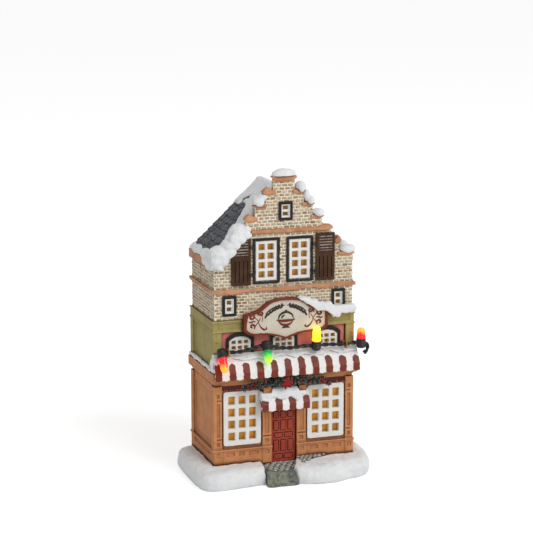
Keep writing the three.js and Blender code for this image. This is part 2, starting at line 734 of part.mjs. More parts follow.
function makeAwningSnow(taken) {
  const back = -pilasterProud - clearance;
  const ledge = corniceTop + clearance;
  const end = -half - corniceReach * corniceSideShare;
  const strip = new THREE.Shape();
  const waves = 8;
  strip.moveTo(end + 0.5, -corniceReach);
  strip.lineTo(-half - clearance, -corniceReach);
  strip.lineTo(-half - clearance, rear);
  for (let i = 0; i <= waves; i++) {
    strip.lineTo(end + 0.3 + 0.3 * Math.sin(i * 2.4), rear - (i / waves) * (rear + 1));
  }
  strip.closePath();
  const side = new THREE.ExtrudeGeometry(strip, {
    depth: 0.8, bevelEnabled: true, bevelThickness: 0.5, bevelSize: 0.4, bevelSegments: 1,
  });
  side.translate(0, 0, ledge + 0.5);
  const blanket = makeBlanket(awning, back, 0, 0.34, awningSnowThick, 16);
  const corner = lump([-half - 0.4, -2.2, awning.fold + 3.4], [2.6, 3, 3.6], 8);
  return whole(cut(join(blanket, solid(side), corner), taken));
}

function makeDoorAwningSnow(taken) {
  const back = -pilasterProud - 2 * clearance;
  const pitch = doorAwning.width * 0.28;
  const heap = [-1, 0, 1].map((i) =>
    lump([doorAwningShift + i * pitch, back - 1.6, doorAwning.top], [pitch * 0.78, 1.6, i ? 2.8 : 3.3], 8));
  const blanket = makeBlanket(doorAwning, back, doorAwningShift, 0.6, doorSnowThick, 8);
  return whole(cut(join(blanket, heap), taken));
}

function makeGarland() {
  const y = -corniceReach - garlandRadius - 0.1;
  const level = shopTop + 0.6;
  const points = [];
  const count = 12;
  for (let i = 0; i <= count; i++) {
    const t = (i / count) * 2 - 1;
    points.push([t * garlandReach, y, level + 0.5 - garlandDroop * t ** 4 + 0.35 * Math.sin(i * 1.9)]);
  }
  const flower = new THREE.Shape();
  const petals = 6;
  for (let i = 0; i <= petals * 2; i++) {
    const angle = (i / (petals * 2)) * 2 * Math.PI;
    const radius = i % 2 ? flowerRadius * 0.44 : flowerRadius;
    const point = [-0.8 + radius * Math.sin(angle), level + 0.2 + radius * Math.cos(angle)];
    if (i) flower.lineTo(...point);
    else flower.moveTo(...point);
  }
  const front = y - garlandRadius;
  return join(tube(points, garlandRadius, 26, 6), upright(flower, front - 0.8, front + 0.8));
}

// Green storey with its recessed mauve panel and three arched windows
function makePanelWalls() {
  const side = half + pilasterProud;
  const z0 = corniceTop;
  const friezeZ = panelTop - friezeHeight;
  const posts = [];
  for (const x of [-side + pilasterWidth / 2, side - pilasterWidth / 2]) {
    posts.push(box(x - pilasterWidth / 2, x + pilasterWidth / 2, -pilasterProud, 1, z0, panelTop));
  }
  const sides = [];
  for (const x of [-half, half]) {
    for (const y of [-pilasterProud, rear + pilasterProud - pilasterWidth]) {
      sides.push(box(x - pilasterProud, x + pilasterProud, y, y + pilasterWidth, z0, panelTop));
    }
  }
  const frieze = ring(pilasterProud, friezeZ, panelTop);
  const inset = box(-half + 1.4, half - 1.4, -9, -pilasterProud + carve, friezeZ + 1.6, panelTop - 1.5);
  const behindSign = box(-signWidth / 2 - clearance, signWidth / 2 + clearance, -9, -pilasterProud, 0, eaves);
  const mouldings = [friezeZ, panelTop - 0.7].map((z) =>
    cut(ring(pilasterProud + mouldingProud, z, z + 0.7), behindSign));
  const sunk = [];
  const studs = [];
  for (const x of [-side + pilasterWidth / 2, side - pilasterWidth / 2]) {
    for (const z of [friezeZ - 2.2, friezeZ - 5.6]) {
      sunk.push(box(x - 0.95, x + 0.95, -9, -pilasterProud + carve, z - 0.95, z + 0.95));
      studs.push(box(x - 0.5, x + 0.5, -pilasterProud, 0, z - 0.5, z + 0.5));
    }
  }
  const reach = pilasterWidth - pilasterProud + 1.4;
  for (const x of [-half - 3 + carve, half - carve]) {
    sunk.push(box(x, x + 3, reach, rear - reach, z0 + 2.6, friezeZ - 1.4));
  }
  const body = join(ring(0, z0, panelTop), posts, sides, frieze, mouldings);
  const opening = box(-panelReach, panelReach, -9, wall + 1, z0 - 1, friezeZ);
  return join(cut(body, inset, opening, sunk), studs);
}

function makeMauvePanel() {
  const reach = panelReach - clearance;
  const { width, height, rise } = archWindow;
  const panel = box(-reach, reach, panelSetBack, wall - 0.2, corniceTop, panelTop - friezeHeight - clearance);
  const openings = archPlaces.map((x) => upright(archedRect(width, height, rise, x, archSill), -1, wall + 1));
  return cut(panel, openings);
}

function makeArchWindow(x) {
  const { width, height, rise } = archWindow;
  const shape = archedRect(width - 2 * clearance, height - 2 * clearance, rise, x, archSill + clearance);
  const lattice = { ...archWindow, height: height - rise / 3 };
  const body = upright(shape, panelSetBack - clearance, wall - 0.2);
  return cut(body, paneHoles(lattice, x, archSill, -3, wall + 1));
}

function makeArchSurround(x) {
  const { width, height, rise } = archWindow;
  const outer = archedRect(width + 2 * surroundWidth, height + surroundWidth * 1.4, rise + 0.6, x, archSill);
  const inner = archedRect(width, height, rise, x, archSill);
  return cut(upright(outer, panelSetBack - surroundProud, panelSetBack), upright(inner, -3, 3),
    box(x - width / 2, x + width / 2, -3, 3, archSill - 1, archSill + 1));
}

// Brick storeys with the stepped gable
function stepHalf(step) {
  return step === 0 ? half : capHalf + (gableSteps - step) * stepRun;
}

function gableOutline() {
  const right = [];
  for (let step = 0; step <= gableSteps; step++) {
    const base = step ? stepTop(step - 1) : panelTop;
    right.push([stepHalf(step), base], [stepHalf(step), stepTop(step)]);
  }
  const left = right.map(([x, z]) => [-x, z]).reverse();
  return outline([...right, ...left]);
}

function roofOutline(lift, reach = 0) {
  const slope = roofRise / half;
  const edge = half + reach;
  const edgeZ = eaves - reach * slope + lift;
  return [[edge, edgeZ], [0, eaves + roofRise + lift], [-edge, edgeZ]];
}

// A coping from its outer end to its inner one: moulded in section, drooping in front, pointed at its
// end. Like the ledge and the cap, it can be grown into the room that snow leaves round it.
function coping(outer, inner, z, peak, grow) {
  const away = Math.sign(outer - inner) * grow;
  const at = (share, lift) => [outer + away + (inner - outer - 2 * away) * share, z + lift];
  const top = copingHeight + grow;
  const points = [
    at(0, copingHeight * 0.55), at(0.24, top + peak * 0.62), at(0.46, top + peak),
    at(0.74, top + peak * 0.3), at(1, top), at(1, -0.1 - grow), at(0.66, -0.5 - grow), at(0.34, -0.75 - grow),
  ];
  const face = outline(outer < inner ? points.reverse() : points);
  const reach = Math.max(Math.abs(outer), Math.abs(inner)) + 1;
  return moulded(z - 1, top + 1, peak, reach, grow).intersect(upright(face, -copingReach - 1, wall + grow));
}

// The section that copings, ledge and cap share: sloping under, rounded at the top of their front
function moulded(z, height, peak, reach, grow) {
  const front = -copingReach - grow;
  const profile = outline([
    [wall + grow, z - grow], [front * 0.5, z + 0.2 - grow], [front, z + 1 + height * 0.2],
    [front * 0.8, z + height + peak * 0.5], [0, z + height + peak], [wall + grow, z + height + peak],
  ]);
  return alongX(profile, -reach, reach);
}

// The ledge across the front, which swells at its right end
function ledgeBand(grow) {
  const reach = stepHalf(ledgeStep) + copingReach + grow;
  const z = ledgeLevel;
  const top = z + ledgeHeight + grow;
  const face = outline([
    [-reach, z + 0.9], [-reach * 0.96, z - 0.3 - grow], [-reach * 0.5, z - grow], [0, z - 0.25 - grow],
    [reach * 0.6, z - grow], [reach * 0.88, z - 0.3 - grow], [reach, z + 0.8], [reach * 0.96, top + 0.8],
    [reach * 0.8, top + 0.9], [reach * 0.68, top], [-reach * 0.97, top],
  ]);
  const band = moulded(z - 1, ledgeHeight + 1 + grow, 1, reach, grow);
  return band.intersect(upright(face, -copingReach - 1, wall + grow));
}

// The cap of the gable hangs low in the middle and runs out in points
function capSlab(grow) {
  const reach = capHalf + copingReach + grow;
  const z = gableTop;
  const top = z + capHeight + grow;
  const face = outline([
    [-reach, z + capHeight * 0.8], [-reach * 0.66, z - 0.2 - grow], [-reach * 0.2, z - 0.9 - grow],
    [reach * 0.3, z - 0.7 - grow], [reach * 0.7, z - 0.1 - grow], [reach, z + capHeight * 0.7],
    [reach * 0.9, top], [-reach * 0.9, top],
  ]);
  const slab = moulded(z - 1, capHeight + 1 + grow, 0, reach, grow);
  return slab.intersect(upright(face, -copingReach - 1, wall + grow));
}

function windowCuts(window, x, z) {
  return box(x - window.width / 2, x + window.width / 2, -2, wall + 2, z, z + window.height);
}

// Copings that no snow covers: the sides and steps of those on the left are negative
const bareCopings = [-3, -5, 1];

// A coping laps in front of the next step, but stops short of a shutter that stands beside it
function copingInner(step, side) {
  const lap = side * (stepHalf(step + 1) - 1);
  const shutterEdge = shutterSpan(side)[side < 0 ? 0 : 1] + side * clearance;
  const beside = stepTop(step) < upperBase - surroundWidth + shutterHeight + 1;
  return beside && side * shutterEdge > side * lap ? shutterEdge : lap;
}

// The left and right edge of a shutter
function shutterSpan(side) {
  const near = upperShift + side * shutterNear;
  const far = near + side * shutterWidth;
  return side < 0 ? [far, near] : [near, far];
}

function makeCopings(grow) {
  const copings = [ledgeBand(grow), capSlab(grow)];
  for (let step = 0; step < gableSteps; step++) {
    if (step === ledgeStep) continue;
    for (const side of [-1, 1]) {
      const peak = bareCopings.includes(side * step) ? copingPeak : copingPeak * 0.25;
      const outer = side * (stepHalf(step) + copingReach);
      copings.push(coping(outer, copingInner(step, side), stepTop(step), peak, grow));
    }
  }
  return copings;
}

// The room that snow leaves round the brick walls
function brickRoom(grow) {
  const steps = [];
  for (let step = 0; step <= gableSteps; step++) {
    const reach = stepHalf(step) + grow;
    steps.push(box(-reach, reach, -grow, wall + grow, panelTop, stepTop(step) + grow));
  }
  const walls = box(-half - grow, half + grow, -grow, rear + grow, panelTop, eaves);
  return join(walls, steps, makeCopings(grow));
}

function makeBrickWalls() {
  const under = roofOutline(-clearance);
  const pentagon = outline([[-half, panelTop], [half, panelTop], ...under]);
  const body = upright(pentagon, wall - weld, rear);
  const room = outline([[-half + wall, panelTop - 1], [half - wall, panelTop - 1],
    [half - wall, eaves + roofRise * 2], [-half + wall, eaves + roofRise * 2]]);
  const parts = [cut(body, upright(room, wall, rear - wall)), upright(gableOutline(), 0, wall)];
  parts.push(...makeCopings(0));
  const cuts = [
    ...smallPlaces.map(([x, z]) => windowCuts(smallWindow, x, z)),
    ...upperPlaces.map(([x, z]) => windowCuts(upperWindow, x, z)),
    windowCuts(atticWindow, ...atticPlace),
  ];
  return cut(join(parts), cuts);
}

function makeBelt() {
  const body = box(-half - beltReach, half + beltReach, -beltReach, rear + beltReach,
    beltLevel, beltLevel + beltHeight);
  const lips = [];
  for (const [place, share] of [[-0.78, 0.19], [0.06, 0.16], [0.58, 0.12]]) {
    const x = place * half;
    const reach = share * half;
    lips.push(box(x - reach, x + reach, -beltReach + 0.2, -0.01, beltLevel - 0.8, beltLevel + 0.5));
  }
  return cut(join(body, lips), box(-half, half, 0, rear, beltLevel - 2, beltLevel + beltHeight + 2));
}

// The eave course edges the roof on both sides and passes under it behind
function makeEaveCourse() {
  const reach = half + beltReach;
  const low = eaves - eaveDrop;
  const body = box(-reach, reach, wall + clearance, rear + beltReach, low, eaves + eaveRise);
  return cut(body, box(-half, half, -1, rear, low - 1, gableTop),
    box(-half, half, -1, rear + wall, eaves - 0.5, gableTop));
}

function makeSash(window, x, z) {
  const reach = window.width / 2 - clearance;
  const top = z + window.height - clearance;
  const body = box(x - reach, x + reach, -0.2, wall - sashSetBack, z + clearance, top);
  return cut(body, paneHoles(window, x, z, -3, wall + 2));
}

function makeSurround(window, x, z, lap = 0) {
  const width = window.width + 2 * surroundWidth;
  const height = window.height + 2 * surroundWidth;
  const outer = upright(roundedRect(width, height, 0.6, x, z - surroundWidth), -surroundProud, 0);
  const reach = window.width / 2 - lap;
  return cut(outer, box(x - reach, x + reach, -3, 3, z + lap, z + window.height - lap));
}

// The little windows are cast in one with their surrounds
function makeLittleWindow(window, x, z) {
  return join(makeSash(window, x, z), makeSurround(window, x, z, clearance + 0.2));
}

function makeShutter(side) {
  const [x0, x1] = shutterSpan(side);
  const z0 = upperBase - surroundWidth;
  const grooves = [];
  const slats = Math.floor((shutterHeight * 0.37) / slatPitch);
  const slatBase = z0 + shutterHeight - shutterRim - slats * slatPitch;
  for (let i = 0; i < slats; i++) {
    const z = slatBase + i * slatPitch;
    const groove = outline([
      [-shutterThick - 1, z], [-shutterThick + 0.6, z + 0.1], [-shutterThick - 1, z + 0.8],
    ]);
    grooves.push(alongX(groove, x0 + shutterRim, x1 - shutterRim));
  }
  const boards = 4;
  for (let i = 0; i < boards; i++) {
    const x = x0 + shutterRim + 0.2 + (i * (shutterWidth - 2 * shutterRim - 0.4)) / (boards - 1);
    grooves.push(box(x - 0.22, x + 0.22, -shutterThick - 1, -shutterThick + carve,
      z0 + shutterRim, slatBase - shutterRim));
  }
  return cut(box(x0, x1, -shutterThick, 0, z0, z0 + shutterHeight), grooves);
}

// Roof: two slopes of slate courses as one folded sheet
function makeRoof() {
  const slope = roofRise / half;
  const length = half - clearance;
  const under = roofOutline(0, -clearance);
  const ridgeZ = eaves + roofRise + roofSheet;
  const right = [];
  for (let course = 0; course < slateCourses; course++) {
    const outer = length - (course / slateCourses) * length;
    const inner = length - ((course + 1) / slateCourses) * length;
    right.push([outer, ridgeZ - outer * slope + slateStep]);
    right.push([inner, ridgeZ - inner * slope]);
  }
  right[right.length - 1] = [0, ridgeZ];
  const left = right.slice(0, -1).map(([x, z]) => [-x, z]).reverse();
  return upright(outline([...right, ...left, under[2], under[1], under[0]]), wall + clearance, rear + 0.6);
}

// The room under the snow: everything below the edges of the slates
function roofRoom() {
  const edges = roofOutline(roofSheet + slateStep + clearance, beltReach + 1);
  const side = half + beltReach + 1;
  const low = eaves - beltReach;
  return upright(outline([...edges, [-side, low], [side, low]].reverse()), wall - weld - clearance, rear + 2);
}

// Snow on one slope, in shares of the slope from ridge to eave and of the roof from front to rear: it is
// piled against the gable, lies along ridge and eave, and leaves the slates between bare
const snowEdge = [
  [0.37, 1], [0.29, 0.86], [0.2, 0.68], [0.34, 0.51], [0.48, 0.36], [0.63, 0.2], [0.7, 0.1],
  [0.81, 0.08], [0.9, 0.24], [0.885, 0.37], [0.915, 0.54], [0.89, 0.72], [0.91, 0.84], [0.9, 1],
  [0.985, 1], [1, 0.7], [0.985, 0.5], [1.005, 0.3], [0.99, 0],
];

function makeSlopeSnow(side) {
  const length = Math.hypot(half, roofRise) * (1 + beltReach / half);
  const depth = rear - wall - clearance;
  const tilt = Math.atan2(roofRise, half);
  const shape = outline([[0, 0], [0, 1], ...snowEdge].map(([down, back]) =>
    [down * length, side * (wall + clearance + back * depth)]));
  const round = snowThick * 0.4;
  const geometry = new THREE.ExtrudeGeometry(shape, {
    depth: snowThick - round, bevelEnabled: true, bevelThickness: round, bevelSize: round,
    bevelOffset: -round, bevelSegments: 1,
  });
  geometry.applyMatrix4(new THREE.Matrix4().makeBasis(
    new THREE.Vector3(side * Math.cos(tilt), 0, -Math.sin(tilt)),
    new THREE.Vector3(0, side, 0),
    new THREE.Vector3(side * Math.sin(tilt), 0, Math.cos(tilt))));
  geometry.translate(0, 0, eaves + roofRise + roofSheet);
  return solid(geometry);
}

const stepHeaps = [
  { step: 3, side: 1, wide: 1.05, tall: 0.95 }, { step: 4, side: 1, wide: 0.8, tall: 1.15 },
  { step: 5, side: 1, wide: 0.85, tall: 1.55 }, { step: 4, side: -1, wide: 1, tall: 0.95 },
];

// A heap of snow on a coping: it laps over the front and leans on the slope behind the gable
function stepHeap({ step, side, wide, tall }) {
  const width = heapWidth * wide;
  const height = heapHeight * tall;
  const x = side * (stepHalf(step) - width * 0.6);
  const base = stepTop(step) + copingHeight;
  return [
    lump([x, wall * 0.4, base + height * 0.3], [width, wall + 1.4, height], 8),
    lump([x, wall + 1.4, base - stepRise * 0.4], [width * 1.1, 2.4, stepRise * 0.85], 7),
  ];
}

// The drift over the left shoulder: from the ledge down over the two lower steps, with a drip in front
function shoulderDrift() {
  const first = stepTop(0) + copingHeight;
  const second = stepTop(1) + copingHeight;
  const corner = -half;
  return [
    lump([corner + 3.2, 2, first + 2], [6, 5.2, 4.4], 10),
    lump([corner + 7.2, 1.2, first + 1.6], [5.4, 4.4, 5.6], 10),
    lump([corner + 1.2, 0, first - 3.4], [2.9, 2.3, 6.6], 8),
    lump([corner + 5.4, -0.2, first - 2], [2.4, 2, 4.6], 8),
    lump([-stepHalf(1) + 1.2, 0.9, second], [4.6, 4.2, 3.9], 8),
    lump([-stepHalf(2) - 0.6, 1.8, stepTop(2) + 0.2], [3.4, 3.4, 3.4], 8),
    lump([-stepHalf(2) + 1.9, 1.8, stepTop(2) + 3], [4.6, 3.8, 2.2], 8),
  ];
}

function makeRoofSnow(taken) {
  const top = eaves + roofRise + roofSheet;
  const length = rear - wall - clearance;
  const ridge = cylinder(ridgeSnowRadius, length, [0, (rear + wall + clearance) / 2, top - 0.9], 'y', 10);
  const heaps = stepHeaps.flatMap(stepHeap);
  const rightShoulder = lump([half - 2.9, 2.2, stepTop(0) + 1.8], [4.2, 4, 3], 8);
  const slopes = [makeSlopeSnow(-1), makeSlopeSnow(1)];
  return whole(cut(join(slopes, ridge, heaps, shoulderDrift(), rightShoulder), taken));
}

function makeCapSnow() {
  const z = gableTop + capHeight;
  const dome = lump([0, wall * 0.3, z], [capHalf + 0.9, 3.6, 3.5]);
  const below = box(-houseWidth, houseWidth, -houseDepth, houseDepth, 0, z + 0.01);
  return cut(dome, below);
}

// Snow that runs from the right shoulder of the sign over the sill of the small window
function makeSillSnow(taken) {
  const onSign = (share, lift) => [(signWidth / 2) * share, signBase + signEnd + lift];
  const onSill = (share, lift) => [half * share, panelTop + smallWindow.sill + lift];
  const shape = new THREE.Shape();
  shape.moveTo(...onSign(0.27, 6.2));
  shape.quadraticCurveTo(...onSign(0.4, 8.4), ...onSign(0.57, 5.4));
  shape.lineTo(...onSign(0.83, 3.4));
  shape.quadraticCurveTo(...onSign(1, 3.8), ...onSill(0.7, 1.2));
  shape.lineTo(...onSill(0.9, 1.2));
  shape.quadraticCurveTo(...onSill(1.026, 2.2), ...onSill(1.038, -0.8));
  shape.quadraticCurveTo(...onSill(0.957, -3.2), ...onSill(0.852, -3));
  shape.quadraticCurveTo(...onSill(0.765, -1.8), ...onSill(0.73, -4));
  shape.quadraticCurveTo(...onSill(0.684, -6), ...onSill(0.661, -3));
  shape.quadraticCurveTo(...onSill(0.562, -0.2), ...onSign(0.743, -0.6));
  shape.quadraticCurveTo(...onSign(0.524, 2.9), ...onSign(0.27, 6.2));
  const round = {
    bevelEnabled: true, bevelThickness: snowLap, bevelSize: 0.8, bevelOffset: -0.8, bevelSegments: 2,
    curveSegments: 2,
  };
  const front = signFace - signBorderProud;
  return whole(cut(upright(shape, front, -pilasterProud - snowLap, round), taken));
}

// Sign board: a plaque with straight ends, an arched crown and a pointed foot
function signOutline(inset) {
  const w = signWidth / 2 - inset;
  const base = signBase + inset * 0.6;
  const top = signBase + signEnd - inset * 0.8;
  const shape = new THREE.Shape();
  shape.moveTo(-w, base);
  shape.quadraticCurveTo(-w * 0.92, base - 2.2, -w * 0.76, base - 2.4);
  shape.bezierCurveTo(-w * 0.5, base - 2.2, -w * 0.3, base - 2.6, 0, base - signDrop);
  shape.bezierCurveTo(w * 0.3, base - 2.6, w * 0.5, base - 2.2, w * 0.76, base - 2.4);
  shape.quadraticCurveTo(w * 0.92, base - 2.2, w, base);
  shape.lineTo(w, top);
  shape.bezierCurveTo(w * 0.8, top + 0.2, w * 0.62, top + 1.4, w * 0.5, top + signCrown * 0.6);
  shape.bezierCurveTo(w * 0.36, top + signCrown * 0.98, w * 0.2, top + signCrown, 0, top + signCrown);
  shape.bezierCurveTo(-w * 0.2, top + signCrown, -w * 0.36, top + signCrown * 0.98,
    -w * 0.5, top + signCrown * 0.6);
  shape.bezierCurveTo(-w * 0.62, top + 1.4, -w * 0.8, top + 0.2, -w, top);
  shape.closePath();
  return shape;
}

function makeSign() {
  const fine = { curveSegments: 5 };
  const board = upright(signOutline(0), signFace, signFace + signThick, fine);
  const rim = upright(signOutline(0), signFace - signBorderProud, signFace + 0.2, fine);
  return join(board, cut(rim, upright(signOutline(signBorder), signFace - 3, signFace + 1, fine)));
}

// Lamp string: where each lamp sits on the wire, in shares of half the house width and above the wire's
// level, which way it points, how far its tip leans out and how much of its length shows
const lamps = [
  { name: 'left', along: -0.945, lift: 0, up: false, lean: 0.62, shows: 1, color: 0xd8281e },
  { name: 'green', along: -0.307, lift: 2.2, up: false, lean: 0.5, shows: 0.84, color: 0x3fae3a },
  { name: 'yellow', along: 0.417, lift: 0, up: true, lean: 0.1, shows: 1, color: 0xf6c81e },
  { name: 'right', along: 1.078, lift: -0.6, up: true, lean: 0, shows: 0.72, color: 0xd8281e },
];
const eyelets = [
  { name: 'left', x: -panelReach + eyeletInset, lift: 0.2 },
  { name: 'right', x: panelReach - eyeletInset, lift: -0.4 },
];

function wireRoute() {
  const at = (along, lift) => [along * half, -wirePlane, wireLevel + lift];
  const [leftEyelet, rightEyelet] = eyelets.map(({ x, lift }) => at(x / half, lift));
  return [
    at(-0.985, 0), at(-0.925, 0.1), leftEyelet, at(-0.7, 0), at(-0.49, 1.3), at(-0.307, 2.3), at(-0.13, 0.6),
    at(0.03, 0), at(0.23, 0.3), at(0.417, 0.1), at(0.58, 0.2), rightEyelet, at(0.957, 0), at(1.078, 0.2),
    at(1.165, -1.2), at(1.17, -4), at(1.125, -5.4),
  ];
}

const wireTube = (radius, steps = 40) => tube(wireRoute(), radius, steps);

function placeLamp(geometry, lamp) {
  if (!lamp.up) geometry.rotateX(Math.PI);
  geometry.rotateX(lamp.up ? lamp.lean : -lamp.lean);
  geometry.translate(lamp.along * half, -wirePlane - 0.2, wireLevel + lamp.lift);
  return solid(geometry);
}

function turned(points, sides = 12) {
  const geometry = new THREE.LatheGeometry(points.map(([r, z]) => new THREE.Vector2(r, z)), sides);
  geometry.rotateX(Math.PI / 2);
  return geometry;
}

function makeSocket(lamp) {
  const r = socketRadius;
  const l = socketLength;
  const profile = [[0, -l * 0.45], [r * 0.8, -l * 0.45], [r, -l * 0.3], [r, l * 0.42], [r * 0.94, l * 0.55],
    [0, l * 0.55]];
  return cut(placeLamp(turned(profile), lamp), wireTube(wireRadius + 0.35));
}

function makeLamp(lamp) {
  const base = socketLength * 0.55 + 0.05;
  const r = lampRadius;
  const l = lampLength * lamp.shows;
  const profile = [
    [0, base], [r * 1.12, base], [r * 1.12, base + 1.2], [r, base + 1.5], [r * 0.97, base + l * 0.64],
    [r * 0.78, base + l * 0.83], [r * 0.42, base + l * 0.96], [0, base + l],
  ];
  return placeLamp(turned(profile), lamp);
}

// An eyelet: a ring round the wire on a stem that ends at the mauve panel
function makeEyelet({ x, lift }) {
  const loop = new THREE.TorusGeometry(eyeletRadius, eyeletWire, 6, 14);
  loop.rotateY(Math.PI / 2);
  const z = wireLevel + lift;
  loop.translate(x, -wirePlane, z);
  const start = -wirePlane + eyeletRadius;
  const end = panelSetBack - clearance;
  return join(solid(loop), cylinder(eyeletWire, end - start, [x, (end + start) / 2, z], 'y', 8));
}

// Battery box with its cover, cells, contacts, switch and board
const cellZ = boxLift + coverThick + clearance + cellRadius;
const bayLeft = -boxHalf + hingeRoom;
const bayRight = bayLeft + cellLength + 2 * contactRoom;
const boxTop = cellZ + cellRadius + clearance + boxWall;
const hingePoint = [bayLeft - 0.8, boxLift + hingeRadius];
const knobX = (bayRight + boxHalf) / 2;

function makeBatteryBox() {
  const body = box(-boxHalf, boxHalf, boxFront, boxBack, boxLift, boxTop);
  const side = half - wall - clearance;
  const flange = box(-side, side, wall + clearance, rear - wall - clearance,
    footSeat, footSeat + flangeThick);
  const bay = box(bayLeft, bayRight, boxFront + boxWall, boxBack - boxWall, boxLift - 1, boxTop - boxWall);
  const well = box(bayRight + boxWall, boxHalf - boxWall, boxFront + boxWall, boxBack - boxWall,
    boxLift + boxWall, boxTop + 1);
  const slot = box(knobX - knobWidth / 2 - clearance, knobX + knobWidth / 2 + clearance,
    boxMiddle - knobLength / 2 - clearance, boxMiddle + knobLength / 2 + knobTravel + clearance, 0, boxTop);
  const [hx, hz] = hingePoint;
  const room = hingeRadius + clearance;
  const relief = box(hx - room, bayLeft + 0.1, boxFront + boxWall, boxBack - boxWall, 0, hz + room);
  const bore = cylinder(pinRadius + runningGap, boxBack - boxFront - 1, [hx, boxMiddle, hz], 'y', 12);
  return cut(join(body, flange), bay, well, slot, relief, bore);
}

function makeCover() {
  const [hx, hz] = hingePoint;
  const y0 = boxFront + boxWall + clearance;
  const y1 = boxBack - boxWall - clearance;
  const plate = box(hx, bayRight - clearance, y0, y1, boxLift, boxLift + coverThick);
  const barrel = cylinder(hingeRadius, y1 - y0, [hx, boxMiddle, hz], 'y', 12);
  const pins = cylinder(pinRadius, y1 - y0 + 2 * pinLength, [hx, boxMiddle, hz], 'y', 12);
  const grip = box(bayRight - 5, bayRight - 3.6, boxMiddle - 4, boxMiddle + 4, boxLift - 1, boxLift + 0.6);
  return cut(join(plate, barrel, pins), grip);
}

// A cell with its positive tip, which points left in front and right behind
function makeCell(side) {
  const y = boxMiddle + (side * cellPitch) / 2;
  const middle = bayLeft + contactRoom + cellLength / 2;
  const tipLength = 1;
  const canX = middle + (side * tipLength) / 2;
  const can = cylinder(cellRadius, cellLength - tipLength, [canX, y, cellZ], 'x', 18);
  const tipX = middle - side * (cellLength / 2 - tipLength);
  return join(can, cylinder(1.9, 2 * tipLength, [tipX, y, cellZ], 'x', 12));
}

// Contact strips with a spring cone for each minus end and a stud for each plus end
function makeContact(end) {
  const x = end < 0 ? bayLeft + clearance : bayRight - clearance - contactThick;
  const reach = cellPitch / 2 + cellRadius * 0.8;
  const plate = box(x, x + contactThick, boxMiddle - reach, boxMiddle + reach, cellZ - 3.6, cellZ + 3.6);
  const bump = (side) => {
    const length = contactRoom - 2 * clearance - contactThick / 2;
    const middle = x + contactThick / 2 - (end * length) / 2;
    const spring = side === end;
    const [inner, outer] = spring ? [1.4, 3.2] : [1.2, 1.6];
    const place = [middle, boxMiddle + (side * cellPitch) / 2, cellZ];
    return cylinder(end < 0 ? outer : inner, length, place, 'x', 10, end < 0 ? inner : outer);
  };
  return join(plate, bump(-1), bump(1));
}

function makeKnob() {
  const x = knobWidth / 2;
  const y = knobLength / 2;
  const floor = boxLift + boxWall;
  const stem = box(knobX - x, knobX + x, boxMiddle - y, boxMiddle + y, boxLift - 0.5, floor + 1.6);
  const shoe = box(knobX - x - shoeReach, knobX + x + shoeReach, boxMiddle - y - 1.2, boxMiddle + y + 1.2,
    floor + 0.05, floor + 1.2);
  return join(stem, shoe);
}

function makeSwitchBody() {
  const z = boxLift + boxWall + 2;
  const x = switchRoom / 2 - clearance;
  const y = switchLength / 2;
  return box(knobX - x, knobX + x, boxMiddle - y, boxMiddle + y, z, z + switchHeight);
}

function makeBoard() {
  const y = boardDepth / 2;
  return box(-boardLength / 2, boardLength / 2, boxMiddle - y, boxMiddle + y, boxTop, boxTop + boardThick);
}

function makeRoomLamp() {
  const r = roomLampRadius;
  const geometry = turned([
    [0, 0], [r + 0.4, 0], [r + 0.4, 1], [r, 1], [r, 5.6], [r * 0.76, 7], [r * 0.4, 7.9], [0, 8.2],
  ], 12);
  geometry.translate(0, boxMiddle, boxTop + boardThick);
  return solid(geometry);
}

// Amber film behind the openings of a wall, in outline
const makeFilm = (points) => upright(outline(points), wall + filmGap, wall + filmGap + filmThick);

function shopFilmOutline() {
  const reach = half - wall - 1;
  const low = footSeat + flangeThick + 1;
  return [[-reach, low], [reach, low], [reach, shopTop - 1], [-reach, shopTop - 1]];
}

function upperFilmOutline() {
  const reach = half - wall - 1;
  const pair = upperWindow.offset + upperWindow.width / 2 + 1.6;
  const pairTop = upperPlaces[0][1] + upperWindow.height + 1.2;
  const atticHalf = atticWindow.width / 2 + 0.6;
  const atticTop = atticPlace[1] + atticWindow.height + 0.4;
  const right = [
    [reach, corniceTop + 1], [reach, eaves - 2], [pair, eaves - 2], [pair, pairTop], [atticHalf, pairTop],
    [atticHalf, atticTop],
  ];
  return [...right, ...right.map(([x, z]) => [-x, z]).reverse()];
}

// Assembly
add('snow_foot', makeFoot(), snowPaint, shop);
add('cobble_path', makePath(), pathPaint, shop);
const shopWalls = add('shop_walls', makeShopWalls(), brownPaint);
add('shop_window_left', makeShopWindow(-shopWindowOffset), whitePaint);
add('shop_window_right', makeShopWindow(shopWindowOffset), whitePaint);
add('shop_door', makeDoor(), doorPaint);
const cornice = add('cornice', makeCornice(), brownPaint);
add('main_awning', makeAwning(awning, -pilasterProud, 0), awningPaint);
add('door_awning', makeAwning(doorAwning, -pilasterProud - clearance, doorAwningShift), awningPaint);
const panelWalls = add('panel_storey_walls', makePanelWalls(), greenPaint);
add('mauve_panel', makeMauvePanel(), mauvePaint);
archPlaces.forEach((x, i) => {
  const name = ['left', 'middle', 'right'][i];
  add('arch_window_' + name, makeArchWindow(x), whitePaint);
  add('arch_surround_' + name, makeArchSurround(x), blackPaint);
});
const bricks = add('brick_walls', makeBrickWalls(), brickPaint);
add('belt_course', makeBelt(), ledgePaint);
const eaveCourse = add('eave_course', makeEaveCourse(), ledgePaint);
const smallWindows = smallPlaces.map(([x, z], i) =>
  add('small_window_' + ['left', 'right'][i], makeLittleWindow(smallWindow, x, z), whitePaint));
upperPlaces.forEach(([x, z], i) => {
  const name = ['left', 'right'][i];
  add('upper_window_' + name, makeSash(upperWindow, x, z), whitePaint);
  add('upper_surround_' + name, makeSurround(upperWindow, x, z), blackPaint);
});
